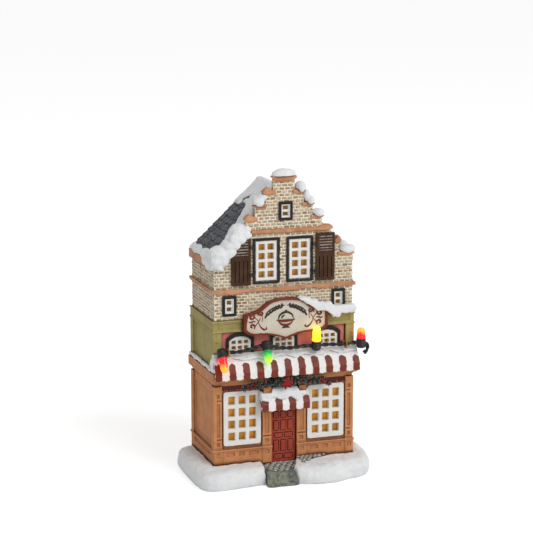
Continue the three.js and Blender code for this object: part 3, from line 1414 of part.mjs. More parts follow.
const shutters = [-1, 1].map((side) =>
  add('shutter_' + (side < 0 ? 'left' : 'right'), makeShutter(side), shutterPaint));
add('attic_window', makeLittleWindow(atticWindow, ...atticPlace), whitePaint);
add('slate_roof', makeRoof(), slatePaint);
const sign = add('sign_board', makeSign(), signPaint);
const snowNeighbours = [roofRoom(), brickRoom(clearance), grown(shutters[0]), grown(eaveCourse)];
add('roof_snow', makeRoofSnow(snowNeighbours), snowPaint);
add('gable_cap_snow', makeCapSnow(), snowPaint);
const sillNeighbours = [sign, bricks, panelWalls, smallWindows[1]];
add('sill_snow', makeSillSnow(sillNeighbours.map((neighbour) => grown(neighbour))), snowPaint);
const mainRoom = awningRoom(awning, -pilasterProud, 0);
const doorRoom = awningRoom(doorAwning, -pilasterProud - clearance, doorAwningShift);
add('main_awning_snow', makeAwningSnow([mainRoom, grown(cornice), grown(panelWalls)]), snowPaint);
add('door_awning_snow', makeDoorAwningSnow([doorRoom, grown(shopWalls)]), snowPaint);
add('garland', makeGarland(), leafPaint);
add('string_wire', wireTube(wireRadius), plasticPaint);
for (const lamp of lamps) {
  add('lamp_socket_' + lamp.name, makeSocket(lamp), plasticPaint);
  add('lamp_' + lamp.name, makeLamp(lamp), { color: lamp.color, roughness: 0.25, metalness: 0 });
}
for (const eyelet of eyelets) {
  add('eyelet_' + eyelet.name, makeEyelet(eyelet), brassPaint);
}
add('battery_box', makeBatteryBox(), plasticPaint);
add('battery_cover', makeCover(), plasticPaint);
add('cell_front', makeCell(-1), steelPaint);
add('cell_rear', makeCell(1), steelPaint);
add('contact_left', makeContact(-1), steelPaint);
add('contact_right', makeContact(1), steelPaint);
add('switch_body', makeSwitchBody(), plasticPaint);
add('switch_knob', makeKnob(), plasticPaint);
add('circuit_board', makeBoard(), boardPaint);
add('room_lamp', makeRoomLamp(), filmPaint);
add('shop_film', makeFilm(shopFilmOutline()), filmPaint);
add('upper_film', makeFilm(upperFilmOutline()), filmPaint);

export default shop;
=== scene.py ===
# Christmas village shop: the painted resin, the snow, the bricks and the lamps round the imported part
import json
import math
import random

import bmesh
import bpy
import numpy as np
from mathutils import Matrix, Vector, noise
from mathutils.bvhtree import BVHTree

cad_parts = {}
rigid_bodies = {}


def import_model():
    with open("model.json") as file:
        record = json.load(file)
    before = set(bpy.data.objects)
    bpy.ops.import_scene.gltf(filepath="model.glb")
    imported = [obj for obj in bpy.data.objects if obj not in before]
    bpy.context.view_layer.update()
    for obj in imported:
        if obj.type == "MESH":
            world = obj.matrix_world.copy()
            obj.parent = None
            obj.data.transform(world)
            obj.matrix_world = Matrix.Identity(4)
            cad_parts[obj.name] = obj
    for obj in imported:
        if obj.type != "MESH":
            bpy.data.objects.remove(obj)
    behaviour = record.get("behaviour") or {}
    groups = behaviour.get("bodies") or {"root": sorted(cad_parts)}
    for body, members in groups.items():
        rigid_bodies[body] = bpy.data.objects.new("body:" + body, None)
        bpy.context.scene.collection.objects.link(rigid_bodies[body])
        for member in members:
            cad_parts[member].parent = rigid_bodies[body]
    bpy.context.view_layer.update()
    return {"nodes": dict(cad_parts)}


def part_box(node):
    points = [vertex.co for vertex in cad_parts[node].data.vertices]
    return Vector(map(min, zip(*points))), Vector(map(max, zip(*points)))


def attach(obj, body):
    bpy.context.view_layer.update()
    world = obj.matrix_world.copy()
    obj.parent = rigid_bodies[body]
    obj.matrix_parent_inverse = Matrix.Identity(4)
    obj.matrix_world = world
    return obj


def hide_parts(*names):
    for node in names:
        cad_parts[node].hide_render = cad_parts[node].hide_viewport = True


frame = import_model()
mm = 0.001

# The shop's drawing, in mm: x from the middle of the front, y back from the front, z up from the floor
house = dict(
    shiftX=0.5, shiftY=-9.5, half=34.5, rear=36.6, wall=2.6, panelReach=31.1, footSeat=6.4,
    shopTop=46.5, stripHeight=2.4, panelTop=78.2, belt=91.4, beltHeight=1.6, eaves=104.9,
    ledge=118.8, ledgeHeight=1.7, gableTop=143.6, capHalf=5.3, steps=6, stepRise=6.2, stepRun=4.5,
    shoulder=1.5, copingHeight=1.3, roofRise=31.7, roofSheet=2.0, roofInset=0.3,
)
openings = dict(
    small=dict(width=4.6, height=7.4, rim=1.2, places=[(-27.2, 81.4), (27.2, 81.4)]),
    upper=dict(width=11.0, height=19.6, rim=1.2, places=[(-8.9, 95.9), (7.7, 95.9)]),
    attic=dict(width=4.6, height=6.6, rim=1.2, places=[(0.6, 125.7)]),
)
consoles = dict(places=[(-9.5, 43.7), (8.4, 43.5)], width=3.5, height=2.9, back=-0.9, front=-4.1, field=0.7,
                sunk=0.5, voxel=0.14, relax=3, keep=0.7, wobble=0.12, ripple=600.0)


def at(x, y, z):
    return Vector(((x + house["shiftX"]) * mm, (y + house["shiftY"]) * mm, z * mm))


# Camera, at the photograph's angle
shot = dict(place=(-0.28456, -0.83687, 0.28147), aim=(-0.00821, -0.0095, 0.10289), lens=128.03)


def makeCamera():
    data = bpy.data.cameras.new("camera")
    data.lens, data.sensor_width = shot["lens"], 36
    data.clip_start, data.clip_end = 0.01, 20
    camera = bpy.data.objects.new("camera", data)
    bpy.context.scene.collection.objects.link(camera)
    camera.location = shot["place"]
    camera.rotation_euler = (Vector(shot["aim"]) - camera.location).to_track_quat("-Z", "Y").to_euler()
    bpy.context.scene.camera = camera


makeCamera()
print("camera set")


# Small helpers for node trees
def colour(red, green, blue):
    # a colour as it looks, 0 to 255, in the linear values that a shader takes
    def line(v):
        v /= 255
        return v / 12.92 if v <= 0.04045 else ((v + 0.055) / 1.055) ** 2.4
    return (line(red), line(green), line(blue), 1.0)


def plug(tree, socket, value):
    if isinstance(value, bpy.types.NodeSocket):
        tree.links.new(value, socket)
    else:
        socket.default_value = value


def put(tree, kind, inputs=None, **settings):
    node = tree.nodes.new(kind)
    for name, value in settings.items():
        setattr(node, name, value)
    for name, value in (inputs or {}).items():
        plug(tree, node.inputs[name], value)
    return node


def calc(tree, operation, a, b=0.0, clamp=False):
    node = put(tree, "ShaderNodeMath", {0: a, 1: b}, operation=operation, use_clamp=clamp)
    return node.outputs[0]


def times(tree, a, b, clamp=False):
    return calc(tree, "MULTIPLY", a, b, clamp)


def plus(tree, a, b, clamp=False):
    return calc(tree, "ADD", a, b, clamp)


def less(tree, a, b):
    return calc(tree, "SUBTRACT", a, b)


def calcVector(tree, operation, a, b):
    return put(tree, "ShaderNodeVectorMath", {0: a, 1: b}, operation=operation).outputs["Vector"]


def blend(tree, factor, a, b):
    return put(tree, "ShaderNodeMix", {0: factor, 6: a, 7: b}, data_type="RGBA").outputs[2]


def spread(tree, value, low, high, bottom=0.0, top=1.0):
    ends = {"Value": value, "From Min": low, "From Max": high, "To Min": bottom, "To Max": top}
    return put(tree, "ShaderNodeMapRange", ends).outputs["Result"]


def grains(tree, vector, scale, detail=4.0, rough=0.55):
    return put(tree, "ShaderNodeTexNoise",
               {"Vector": vector, "Scale": scale, "Detail": detail, "Roughness": rough}).outputs["Fac"]


def carried(tree, label):
    # a value that the mesh carries on its points
    return put(tree, "ShaderNodeAttribute", attribute_name=label).outputs["Fac"]


def newGroup(name, inputs, outputs, kind="ShaderNodeTree"):
    group = bpy.data.node_groups.new(name, kind)
    for way, sockets in (("INPUT", inputs), ("OUTPUT", outputs)):
        for label, value in sockets.items():
            socket = group.interface.new_socket(name=label, in_out=way, socket_type=socketKind(value))
            if way == "INPUT" and not isinstance(value, str):
                socket.default_value = value
    source = group.nodes.new("NodeGroupInput").outputs
    sink = group.nodes.new("NodeGroupOutput").inputs
    return group, source, sink


def socketKind(value):
    # a socket is asked for by its default value or, where it has none, by the name of its kind
    if isinstance(value, str):
        return "NodeSocket" + value
    return "NodeSocket" + {tuple: "Color", int: "Int", float: "Float"}[type(value)]


# Shared effects
def makeHandPaint():
    # brushed paint on cast resin: mottled; darkened in the sunken places by a dark glaze and by painted shade
    # that ambient occlusion finds; rubbed pale on the edges, which on the awnings' folds is a painted
    # highlight
    group, given, out = newGroup("handPaint", {
        "Vector": "Vector", "Paint": (0.5, 0.5, 0.5, 1), "Wash": (0.1, 0.1, 0.1, 1),
        "Worn": (0.8, 0.8, 0.8, 1), "Mottle": 0.5, "Wash Amount": 0.7, "Wear Amount": 0.6,
        "Scale": 500.0, "Reach": 0.0012,
    }, {"Color": "Color", "Roughness": "Float", "Height": "Float"})
    broad = grains(group, given["Vector"], times(group, given["Scale"], 0.35), 3)
    fine = grains(group, given["Vector"], times(group, given["Scale"], 3.0), 5, 0.65)
    patches = spread(group, broad, 0.32, 0.68)
    deeper = blend(group, 0.35, given["Paint"], given["Wash"])
    lighter = blend(group, 0.28, given["Paint"], given["Worn"])
    mottled = blend(group, patches, deeper, lighter)
    base = blend(group, given["Mottle"], given["Paint"], mottled)
    # painted shade and a dark glaze in the sunken places, found by ambient occlusion
    shade = put(group, "ShaderNodeAmbientOcclusion", {"Distance": given["Reach"]}, samples=6)
    hollowShade = spread(group, shade.outputs["AO"], 0.97, 0.42)
    ragged = times(group, hollowShade, spread(group, fine, 0.25, 0.6, 0.55, 1.15))
    washShadeMask = times(group, ragged, given["Wash Amount"], True)
    # rubbed pale on the edges: worn paint, and on the awnings' folds a painted highlight
    bend = carried(group, "bend")
    crest = spread(group, bend, 0.18, 0.75)
    rubbed = times(group, crest, spread(group, fine, 0.38, 0.62, 0.25, 1.0))
    wearAndHighlight = times(group, rubbed, given["Wear Amount"], True)
    washShaded = blend(group, washShadeMask, base, given["Wash"])
    plug(group, out["Color"], blend(group, wearAndHighlight, washShaded, given["Worn"]))
    plug(group, out["Roughness"], spread(group, fine, 0.2, 0.8, 0.4, 0.68))
    relief = plus(group, times(group, fine, 0.6), times(group, broad, 0.7))
    plug(group, out["Height"], relief)
    return group


def makeSnowGrain():
    # snow: white, with painted bluish shade in the dips and corners and in uneven patches, and fine crystals
    # as specks of that shade colour
    group, given, out = newGroup("snowGrain", {
        "Vector": "Vector", "Lit": (0.9, 0.9, 0.9, 1), "Hollow": (0.5, 0.6, 0.7, 1),
        "Amount": 0.6, "Scale": 260.0,
    }, {"Color": "Color", "Roughness": "Float", "Height": "Float"})
    broad = grains(group, given["Vector"], given["Scale"], 4, 0.6)
    fine = grains(group, given["Vector"], times(group, given["Scale"], 9.0), 6, 0.75)
    # painted shade: bluish where ambient occlusion finds the snow sheltered, and in patches of noise
    shade = put(group, "ShaderNodeAmbientOcclusion", {"Distance": 0.0045}, samples=6)
    hollowShade = spread(group, shade.outputs["AO"], 1.0, 0.35)
    dip = spread(group, broad, 0.58, 0.34)
    bluishShade = plus(group, times(group, hollowShade, 0.75), times(group, dip, 0.45))
    tint = times(group, bluishShade, given["Amount"], True)
    base = blend(group, tint, given["Lit"], given["Hollow"])
    sparkle = spread(group, fine, 0.45, 0.7, 0.0, 0.16)
    plug(group, out["Color"], blend(group, sparkle, base, given["Hollow"]))
    plug(group, out["Roughness"], spread(group, fine, 0.3, 0.7, 0.55, 0.85))
    plug(group, out["Height"], plus(group, fine, times(group, broad, 1.2)))
    return group


def makeMouldGrain():
    # moulded plastic and plated metal: fine grain, handling marks and rubbed edges
    group, given, out = newGroup("mouldGrain", {
        "Vector": "Vector", "Tone": (0.02, 0.02, 0.02, 1), "Mark": (0.1, 0.1, 0.1, 1),
        "Scale": 900.0, "Amount": 0.5, "Gloss": 0.35,
    }, {"Color": "Color", "Roughness": "Float", "Height": "Float"})
    broad = grains(group, given["Vector"], times(group, given["Scale"], 0.2), 3)
    fine = grains(group, given["Vector"], times(group, given["Scale"], 4.0), 4, 0.7)
    marks = times(group, spread(group, broad, 0.5, 0.72), given["Amount"], True)
    bend = carried(group, "bend")
    edge = times(group, spread(group, bend, 0.3, 0.9), 0.5)
    marked = calc(group, "MAXIMUM", marks, edge)
    plug(group, out["Color"], blend(group, marked, given["Tone"], given["Mark"]))
    rough = plus(group, given["Gloss"], spread(group, fine, 0.3, 0.7, -0.06, 0.12))
    plug(group, out["Roughness"], rough)
    plug(group, out["Height"], fine)
    return group


handPaint = makeHandPaint()
snowGrain = makeSnowGrain()
mouldGrain = makeMouldGrain()


def startMaterial(name, **settings):
    material = bpy.data.materials.new(name)
    material.use_nodes = True
    tree = material.node_tree
    shader = tree.nodes["Principled BSDF"]
    for label, value in settings.items():
        words = label.replace("_", " ").title().replace("Ior", "IOR")
        shader.inputs[words].default_value = value
    where = put(tree, "ShaderNodeTexCoord").outputs["Object"]
    return material, tree, shader, where


def bumpFrom(tree, shader, height, distance, strength=1.0):
    bump = put(tree, "ShaderNodeBump", {"Height": height, "Strength": strength, "Distance": distance})
    plug(tree, shader.inputs["Normal"], bump.outputs["Normal"])


def grouped(tree, group, **values):
    node = tree.nodes.new("ShaderNodeGroup")
    node.node_tree = group
    for label, value in values.items():
        plug(tree, node.inputs[label.replace("_", " ")], value)
    return node.outputs


def coat(tree, shader, given, bump, tone=None):
    # gives a material the colour, gloss and relief of a shared effect
    plug(tree, shader.inputs["Base Color"], tone or given["Color"])
    plug(tree, shader.inputs["Roughness"], given["Roughness"])
    bumpFrom(tree, shader, given["Height"], bump)


def glow(tree, shader, tone, power):
    # one colour for what is reflected and what shines
    plug(tree, shader.inputs["Base Color"], tone)
    plug(tree, shader.inputs["Emission Color"], tone)
    shader.inputs["Emission Strength"].default_value = power


def paintMaterial(name, look, paint=None):
    # a hand-painted finish; paint may be a function that gives a colour over the surface, or that and the
    # colour of the dark glaze and painted shade in the sunken places
    material, tree, shader, where = startMaterial(name, specular_ior_level=look.get("shine", 0.16))
    base, washShade = colour(*look["paint"]), colour(*look["washShade"])
    if paint:
        base = paint(tree, where)
        base, washShade = base if isinstance(base, tuple) else (base, washShade)
    given = grouped(tree, handPaint, Vector=where, Paint=base, Wash=washShade,
                    Worn=colour(*look["wornAndHighlight"]), Mottle=look.get("mottle", 0.5),
                    Wash_Amount=look.get("washShadeAmount", 0.7), Wear_Amount=look.get("wearAndHighlight", 0.6),
                    Scale=look.get("scale", 500.0), Reach=look.get("reach", 0.0012))
    plug(tree, shader.inputs["Base Color"], given["Color"])
    plug(tree, shader.inputs["Roughness"], plus(tree, given["Roughness"], look.get("rough", 0.0), True))
    bumpFrom(tree, shader, given["Height"], look.get("bump", 0.00012))
    return material


# each paint's second colour and its amount give a dark glaze and painted shade in the sunken places
paints = dict(
    brown=dict(paint=(208, 140, 92), washShade=(92, 46, 26), wornAndHighlight=(236, 182, 134), mottle=0.5, washShadeAmount=1.5,
               wearAndHighlight=1.0, reach=0.0018),
    green=dict(paint=(172, 158, 98), washShade=(84, 74, 36), wornAndHighlight=(204, 190, 130), mottle=0.5, washShadeAmount=1.2,
               wearAndHighlight=0.9, reach=0.0016),
    mauve=dict(paint=(222, 128, 118), washShade=(124, 62, 60), wornAndHighlight=(232, 168, 154), mottle=0.7, washShadeAmount=0.6,
               wearAndHighlight=0.4),
    terracotta=dict(paint=(208, 146, 106), washShade=(104, 54, 30), wornAndHighlight=(234, 190, 150), mottle=0.9, washShadeAmount=1.0,
                    wearAndHighlight=0.9, scale=600.0),
    mortar=dict(paint=(250, 242, 220), washShade=(168, 148, 120), wornAndHighlight=(252, 246, 232), mottle=0.6, washShadeAmount=0.25,
                wearAndHighlight=0.2, reach=0.0006),
    white=dict(paint=(240, 238, 234), washShade=(150, 136, 118), wornAndHighlight=(250, 249, 246), mottle=0.3, washShadeAmount=0.45,
               wearAndHighlight=0.5),
    black=dict(paint=(17, 15, 13), washShade=(8, 7, 6), wornAndHighlight=(86, 80, 74), mottle=0.4, washShadeAmount=0.5, wearAndHighlight=0.5,
               shine=0.4, rough=-0.05),
    door=dict(paint=(172, 66, 46), washShade=(86, 28, 20), wornAndHighlight=(220, 130, 104), mottle=0.5, washShadeAmount=0.9, wearAndHighlight=1.0,
              rough=-0.08, reach=0.0009),
    shutter=dict(paint=(66, 38, 18), washShade=(22, 12, 7), wornAndHighlight=(140, 106, 84), mottle=0.5, washShadeAmount=0.9, wearAndHighlight=0.4,
                 reach=0.0009, shine=0.25, rough=0.1),
    slate=dict(paint=(38, 40, 45), washShade=(10, 11, 13), wornAndHighlight=(146, 151, 158), mottle=0.7, washShadeAmount=0.8, wearAndHighlight=0.6),
    border=dict(paint=(118, 48, 34), washShade=(60, 22, 16), wornAndHighlight=(172, 98, 74), mottle=0.5, washShadeAmount=0.6, wearAndHighlight=0.6),
    sign=dict(paint=(218, 210, 194), washShade=(150, 132, 104), wornAndHighlight=(232, 226, 212), mottle=0.5, washShadeAmount=0.5,
              wearAndHighlight=0.4),
    stone=dict(paint=(142, 144, 137), washShade=(36, 38, 34), wornAndHighlight=(200, 202, 196), mottle=0.9, washShadeAmount=1.0,
               wearAndHighlight=0.6, reach=0.001),
    strip=dict(paint=(98, 44, 44), washShade=(48, 20, 22), wornAndHighlight=(140, 80, 74), mottle=0.5, washShadeAmount=0.7, wearAndHighlight=0.4),
)
louvre = dict(low=109.1, high=116.2, pitch=1.35, first=108.0, middle=20.9, reach=3.4)


def louvreTones(tree, where):
    # the louvres' lips are brushed pale
    parts = put(tree, "ShaderNodeSeparateXYZ", {0: where}).outputs
    count = calc(tree, "DIVIDE", less(tree, parts[2], louvre["first"] * mm), louvre["pitch"] * mm)
    lip = spread(tree, calc(tree, "FRACT", count), 0.58, 0.68)
    aside = less(tree, calc(tree, "ABSOLUTE", parts[0]), louvre["middle"] * mm)
    beside = spread(tree, calc(tree, "ABSOLUTE", aside), louvre["reach"] * mm, (louvre["reach"] - 0.5) * mm)
    above = calc(tree, "GREATER_THAN", parts[2], louvre["low"] * mm)
    below = calc(tree, "LESS_THAN", parts[2], louvre["high"] * mm)
    zone = times(tree, beside, times(tree, above, below))
    ragged = spread(tree, grains(tree, where, 700.0, 3), 0.32, 0.55, 0.15, 0.8)
    pale = times(tree, times(tree, lip, zone), ragged)
    return blend(tree, pale, colour(*paints["shutter"]["paint"]), colour(190, 180, 172))


finish = {name: paintMaterial(name + "_paint", look, louvreTones if name == "shutter" else None)
          for name, look in paints.items()}


# Cast resin: a CAD node's own shape, remade fine enough for soft edges
castSettings = dict(voxel=0.3, relax=2, keep=0.45, wobble=0.05, ripple=420.0)


def linkPiece(name, mesh):
    piece = bpy.data.objects.new(name, mesh)
    bpy.context.scene.collection.objects.link(piece)
    return piece


def reworked(mesh, change):
    # the mesh after a change made to it as an open bmesh
    skin = bmesh.new()
    skin.from_mesh(mesh)
    change(skin)
    skin.to_mesh(mesh)
    skin.free()
    return mesh


def meshFrom(skin, name):
    # an open bmesh made into a mesh
    mesh = bpy.data.meshes.new(name)
    skin.to_mesh(mesh)
    skin.free()
    return mesh


def nodeMesh(node):
    # a CAD node's loose triangles as one closed skin
    mesh = frame["nodes"][node].data.copy()
    mesh.materials.clear()
    return reworked(mesh, lambda skin: bmesh.ops.remove_doubles(skin, verts=skin.verts, dist=1e-6))


def applied(piece):
    # the piece with its modifiers made real
    graph = bpy.context.evaluated_depsgraph_get()
    mesh = bpy.data.meshes.new_from_object(piece.evaluated_get(graph))
    piece.modifiers.clear()
    old = piece.data
    piece.data = mesh
    bpy.data.meshes.remove(old)
    return piece


def vectorsOf(rows, label):
    flat = np.empty(len(rows) * 3, np.float32)
    rows.foreach_get(label, flat)
    return flat.reshape(-1, 3)


def places(mesh):
    return vectorsOf(mesh.vertices, "co")


def setPlaces(mesh, points):
    mesh.vertices.foreach_set("co", np.ascontiguousarray(points, np.float32).ravel())
    mesh.update()


bendRadius = 0.35 * mm


def markBends(mesh, radius=bendRadius):
    # how much each point stands out from its neighbours, for the rubbed pale edges and painted edge
    # highlights
    points, normals = places(mesh), vectorsOf(mesh.vertex_normals, "vector")
    pairs = np.empty(len(mesh.edges) * 2, np.int32)
    mesh.edges.foreach_get("vertices", pairs)
    pairs = pairs.reshape(-1, 2)
    step = points[pairs[:, 1]] - points[pairs[:, 0]]
    far = np.maximum((step ** 2).sum(1), 1e-12)
    bend, count = np.zeros(len(points)), np.zeros(len(points))
    for end, sign in ((0, -1.0), (1, 1.0)):
        who = pairs[:, end]
        np.add.at(bend, who, sign * (normals[who] * step).sum(1) / far)
        np.add.at(count, who, 1)
    bend = np.clip(bend / np.maximum(count, 1) * radius * 2, -1, 1).astype(np.float32)
    layer = mesh.attributes.new("bend", "FLOAT", "POINT")
    layer.data.foreach_set("value", bend)


def jostle(mesh, height, scale, seed=0.0, low=None):
    # uneven casting: each point moves along its normal by smooth noise
    points, normals = places(mesh), vectorsOf(mesh.vertex_normals, "vector")
    drift = Vector((seed, seed * 1.7, seed * 0.6))
    for i in range(len(points)):
        if low is not None and points[i][2] < low:
            continue
        push = noise.noise(Vector(points[i]) * scale + drift)
        push += 0.5 * noise.noise(Vector(points[i]) * scale * 2.3 + drift)
        points[i] += normals[i] * (push * height)
    setPlaces(mesh, points)


def keepInside(mesh, low, high):
    points = places(mesh)
    setPlaces(mesh, np.clip(points, np.array(low, np.float32), np.array(high, np.float32)))


def smoothShade(mesh):
    mesh.polygons.foreach_set("use_smooth", np.ones(len(mesh.polygons), bool))


def dress(mesh, radius=bendRadius):
    # the marks for rubbed pale edges and painted edge highlights, and smooth shading
    markBends(mesh, radius)
    smoothShade(mesh)


def addLumps(mesh, lumps):
    # round lumps, as place and three radii in the drawing's mm, that the remesh takes into the skin
    def grow(skin):
        for x, y, z, *radii in lumps:
            where = Matrix.Translation(at(x, y, z)) @ Matrix.Diagonal([r * mm for r in radii] + [1.0])
            bmesh.ops.create_icosphere(skin, subdivisions=3, radius=1.0, matrix=where)
    reworked(mesh, grow)


def remade(name, mesh, voxel, relax, keep):
    piece = linkPiece(name, mesh)
    again = piece.modifiers.new("again", "REMESH")
    again.mode, again.voxel_size = "VOXEL", voxel * mm
    if relax:
        soft = piece.modifiers.new("soft", "SMOOTH")
        soft.factor, soft.iterations = 0.5, relax
    if keep < 1:
        fewer = piece.modifiers.new("fewer", "DECIMATE")
        fewer.ratio = keep
    return applied(piece)


def finishPiece(piece, materials, slot, nodes=(), body="shop"):
    for material in materials:
        piece.data.materials.append(material)
    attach(piece, body)
    if nodes:
        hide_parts(*nodes)


def castPiece(node, slot, materials, choose=None, **settings):
    use = {**castSettings, **settings}
    piece = remade(node + "_cast", nodeMesh(node), use["voxel"], use["relax"], use["keep"])
    low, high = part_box(node)
    jostle(piece.data, use["wobble"] * mm, use["ripple"], seed=len(node) * 3.1)
    keepInside(piece.data, low, high)
    dress(piece.data)
    finishPiece(piece, materials, slot, [node])
    if choose:
        for face in piece.data.polygons:
            face.material_index = choose(face)


def onHouse(point):
    # a point of the frame in the drawing's mm
    return (point[0] / mm - house["shiftX"], point[1] / mm - house["shiftY"], point[2] / mm)


# Snow; lumps: place and radii in the drawing's mm
snowLooks = dict(
    snow_foot=dict(voxel=0.55, relax=3, height=0.45, scale=230.0, low=0.8),
    roof_snow=dict(voxel=0.36, relax=9, height=0.34, scale=210.0, lumps=[
        # left shoulder: round the corner, over the ledge's end and the shutter's corner
        (-36.0, 9.5, 105.6, 1.2, 3.6, 2.2), (-35.8, 5.2, 104.8, 1.4, 3.2, 2.7),
        (-35.4, 1.6, 104.8, 1.7, 3.0, 2.8), (-33.2, -0.6, 107.0, 3.4, 2.2, 2.8),
        (-30.2, -0.7, 107.2, 3.2, 2.2, 3.0), (-27.0, -0.8, 111.4, 3.2, 2.1, 2.6),
        (-25.6, -2.0, 117.2, 2.4, 1.6, 2.2), (-24.4, -1.9, 114.4, 2.6, 1.5, 2.6),
        (-22.0, -1.9, 116.8, 2.7, 1.5, 2.3), (-19.2, -1.8, 118.6, 2.9, 1.5, 1.8),
        (-22.6, -1.3, 119.8, 3.4, 1.9, 2.2), (-18.8, -1.0, 121.4, 2.4, 1.6, 1.8),
        (-30.0, 1.6, 112.0, 3.0, 2.4, 2.4), (-26.0, 1.6, 116.6, 2.8, 2.4, 2.6),
        # left step: one heap with the blanket behind it
        (-12.4, 0.6, 134.0, 2.9, 2.2, 1.6), (-10.2, 1.4, 135.9, 2.6, 2.4, 2.0),
        (-12.6, 3.2, 134.4, 2.6, 2.6, 2.2),
        # right shoulder and steps: flat heaps that run down from step to step
        (32.4, 0.4, 108.9, 3.9, 2.4, 2.2), (30.6, 4.4, 110.6, 2.6, 3.2, 1.8),
        (17.0, 0.5, 127.7, 3.3, 2.3, 1.5), (12.6, 0.5, 134.0, 2.4, 2.2, 1.6),
        (11.0, 0.6, 136.4, 1.5, 1.8, 2.6), (8.4, 0.4, 140.4, 2.1, 2.0, 2.3),
        # ragged lower edge of the blanket on the left slope
        (-8.8, 9.0, 130.9, 2.6, 2.4, 1.4), (-9.0, 14.5, 130.6, 2.0, 2.2, 1.4),
        (-10.2, 19.5, 129.6, 2.6, 2.0, 1.4), (-9.8, 25.0, 129.9, 2.2, 2.6, 1.4),
        (-11.2, 31.0, 128.6, 2.8, 2.2, 1.4),
    ]),
    gable_cap_snow=dict(voxel=0.25, relax=6, height=0.25, scale=260.0),
    sill_snow=dict(voxel=0.25, relax=5, height=0.25, scale=330.0, lumps=[
        (7.6, -2.4, 86.9, 1.9, 1.5, 1.5), (10.6, -2.6, 85.9, 2.2, 1.9, 1.8),
        (14.2, -2.6, 84.6, 2.3, 2.0, 2.0), (17.8, -2.6, 82.9, 2.3, 2.0, 2.2),
        (21.2, -2.7, 82.6, 2.3, 2.0, 2.3), (25.0, -2.7, 80.3, 2.5, 2.0, 2.0),
        (26.0, -2.9, 78.4, 1.7, 1.7, 2.0), (29.8, -2.6, 80.2, 2.8, 2.0, 1.9),
        (33.4, -2.4, 80.2, 2.3, 1.8, 2.0),
    ]),
    main_awning_snow=dict(voxel=0.25, relax=8, height=0.24, scale=360.0, white=True),
    door_awning_snow=dict(voxel=0.22, relax=6, height=0.25, scale=360.0, white=True, notched=True, lumps=[
        (-5.6, -2.3, 43.2, 2.0, 1.5, 1.4), (-2.8, -2.1, 43.5, 2.6, 1.5, 1.3),
        (1.0, -2.1, 43.5, 2.6, 1.5, 1.3), (4.4, -2.3, 43.2, 2.0, 1.5, 1.4),
    ]),
)
notchShape = dict(half=1.9, level=42.3, slope=2.5)
drip = dict(inside=-28.0, top=105.0, share=0.5, aside=0.36, front=-0.006)
heap = dict(top=113.0, share=0.42, start=-31.0, width=6.0, front=-0.0095)


def snowMaterial(name, hollowShade, amount):
    # the second colour is the painted bluish shade in the dips and corners
    material, tree, shader, where = startMaterial(name, specular_ior_level=0.3)
    given = grouped(tree, snowGrain, Vector=where, Lit=colour(251, 252, 252), Hollow=colour(*hollowShade),
                    Amount=amount, Scale=240.0)
    coat(tree, shader, given, 0.0004)
    return material


def shortenDrip(mesh):
    # the drip at the left corner and the heap beside it end higher than packed, the drip also further in
    points = places(mesh)
    front = (points[:, 1] < heap["front"]) & (points[:, 0] < 0) & (points[:, 2] < heap["top"] * mm)
    share = np.clip((points[front, 0] / mm - heap["start"]) / heap["width"], 0, 1) * heap["share"]
    points[front, 2] += (heap["top"] * mm - points[front, 2]) * share
    aside = (points[:, 0] < drip["inside"] * mm) & (points[:, 1] < drip["front"])
    below = aside & (points[:, 2] < drip["top"] * mm)
    depth = drip["top"] * mm - points[below, 2]
    points[below, 2] += depth * drip["share"]
    points[below, 0] += depth * drip["aside"]
    setPlaces(mesh, points)


def notch(mesh, middles):
    # the heap dips where a console stands in it
    points = places(mesh)
    x, z = points[:, 0] / mm - house["shiftX"], points[:, 2] / mm
    for middle in middles:
        beyond = np.maximum(0, np.abs(x - middle) - notchShape["half"])
        z = np.minimum(z, notchShape["level"] + beyond * notchShape["slope"])
    points[:, 2] = z * mm
    setPlaces(mesh, points)


def makeSnow():
    # the colours given are the painted shade in the snow's dips and corners, paler on the awnings
    snow = snowMaterial("snow", (186, 198, 210), 0.26)
    white = snowMaterial("awning_snow", (220, 222, 226), 0.15)
    for node, look in snowLooks.items():
        mesh = nodeMesh(node)
        if node == "roof_snow":
            shortenDrip(mesh)
        addLumps(mesh, look.get("lumps", ()))
        piece = remade(node + "_soft", mesh, look["voxel"], look["relax"], keep=1)
        low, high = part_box(node)
        bottom = look["low"] * mm if "low" in look else None
        jostle(piece.data, look["height"] * mm, look["scale"], seed=len(node) * 1.3, low=bottom)
        keepInside(piece.data, low, high)
        if look.get("notched"):
            notch(piece.data, [x for x, z in consoles["places"]])
        dress(piece.data, 0.8 * mm)
        finishPiece(piece, [white if look.get("white") else snow], "snow", [node])


makeSnow()
print("snow laid")


# Walls, windows, door and mouldings
strip = dict(front=-0.45, back=0.4)
surround = dict(lap=0.25, proud=0.12)
coping = dict(proud=0.14, over=0.4, behind=0.3)


def onStrip(face):
    # the dark strip under the cornice, between the pilasters
    x, y, z = onHouse(face.center)
    flush = strip["front"] < y < strip["back"]
    high = z > house["shopTop"] - house["stripHeight"]
    return 1 if flush and high and abs(x) < house["panelReach"] else 0


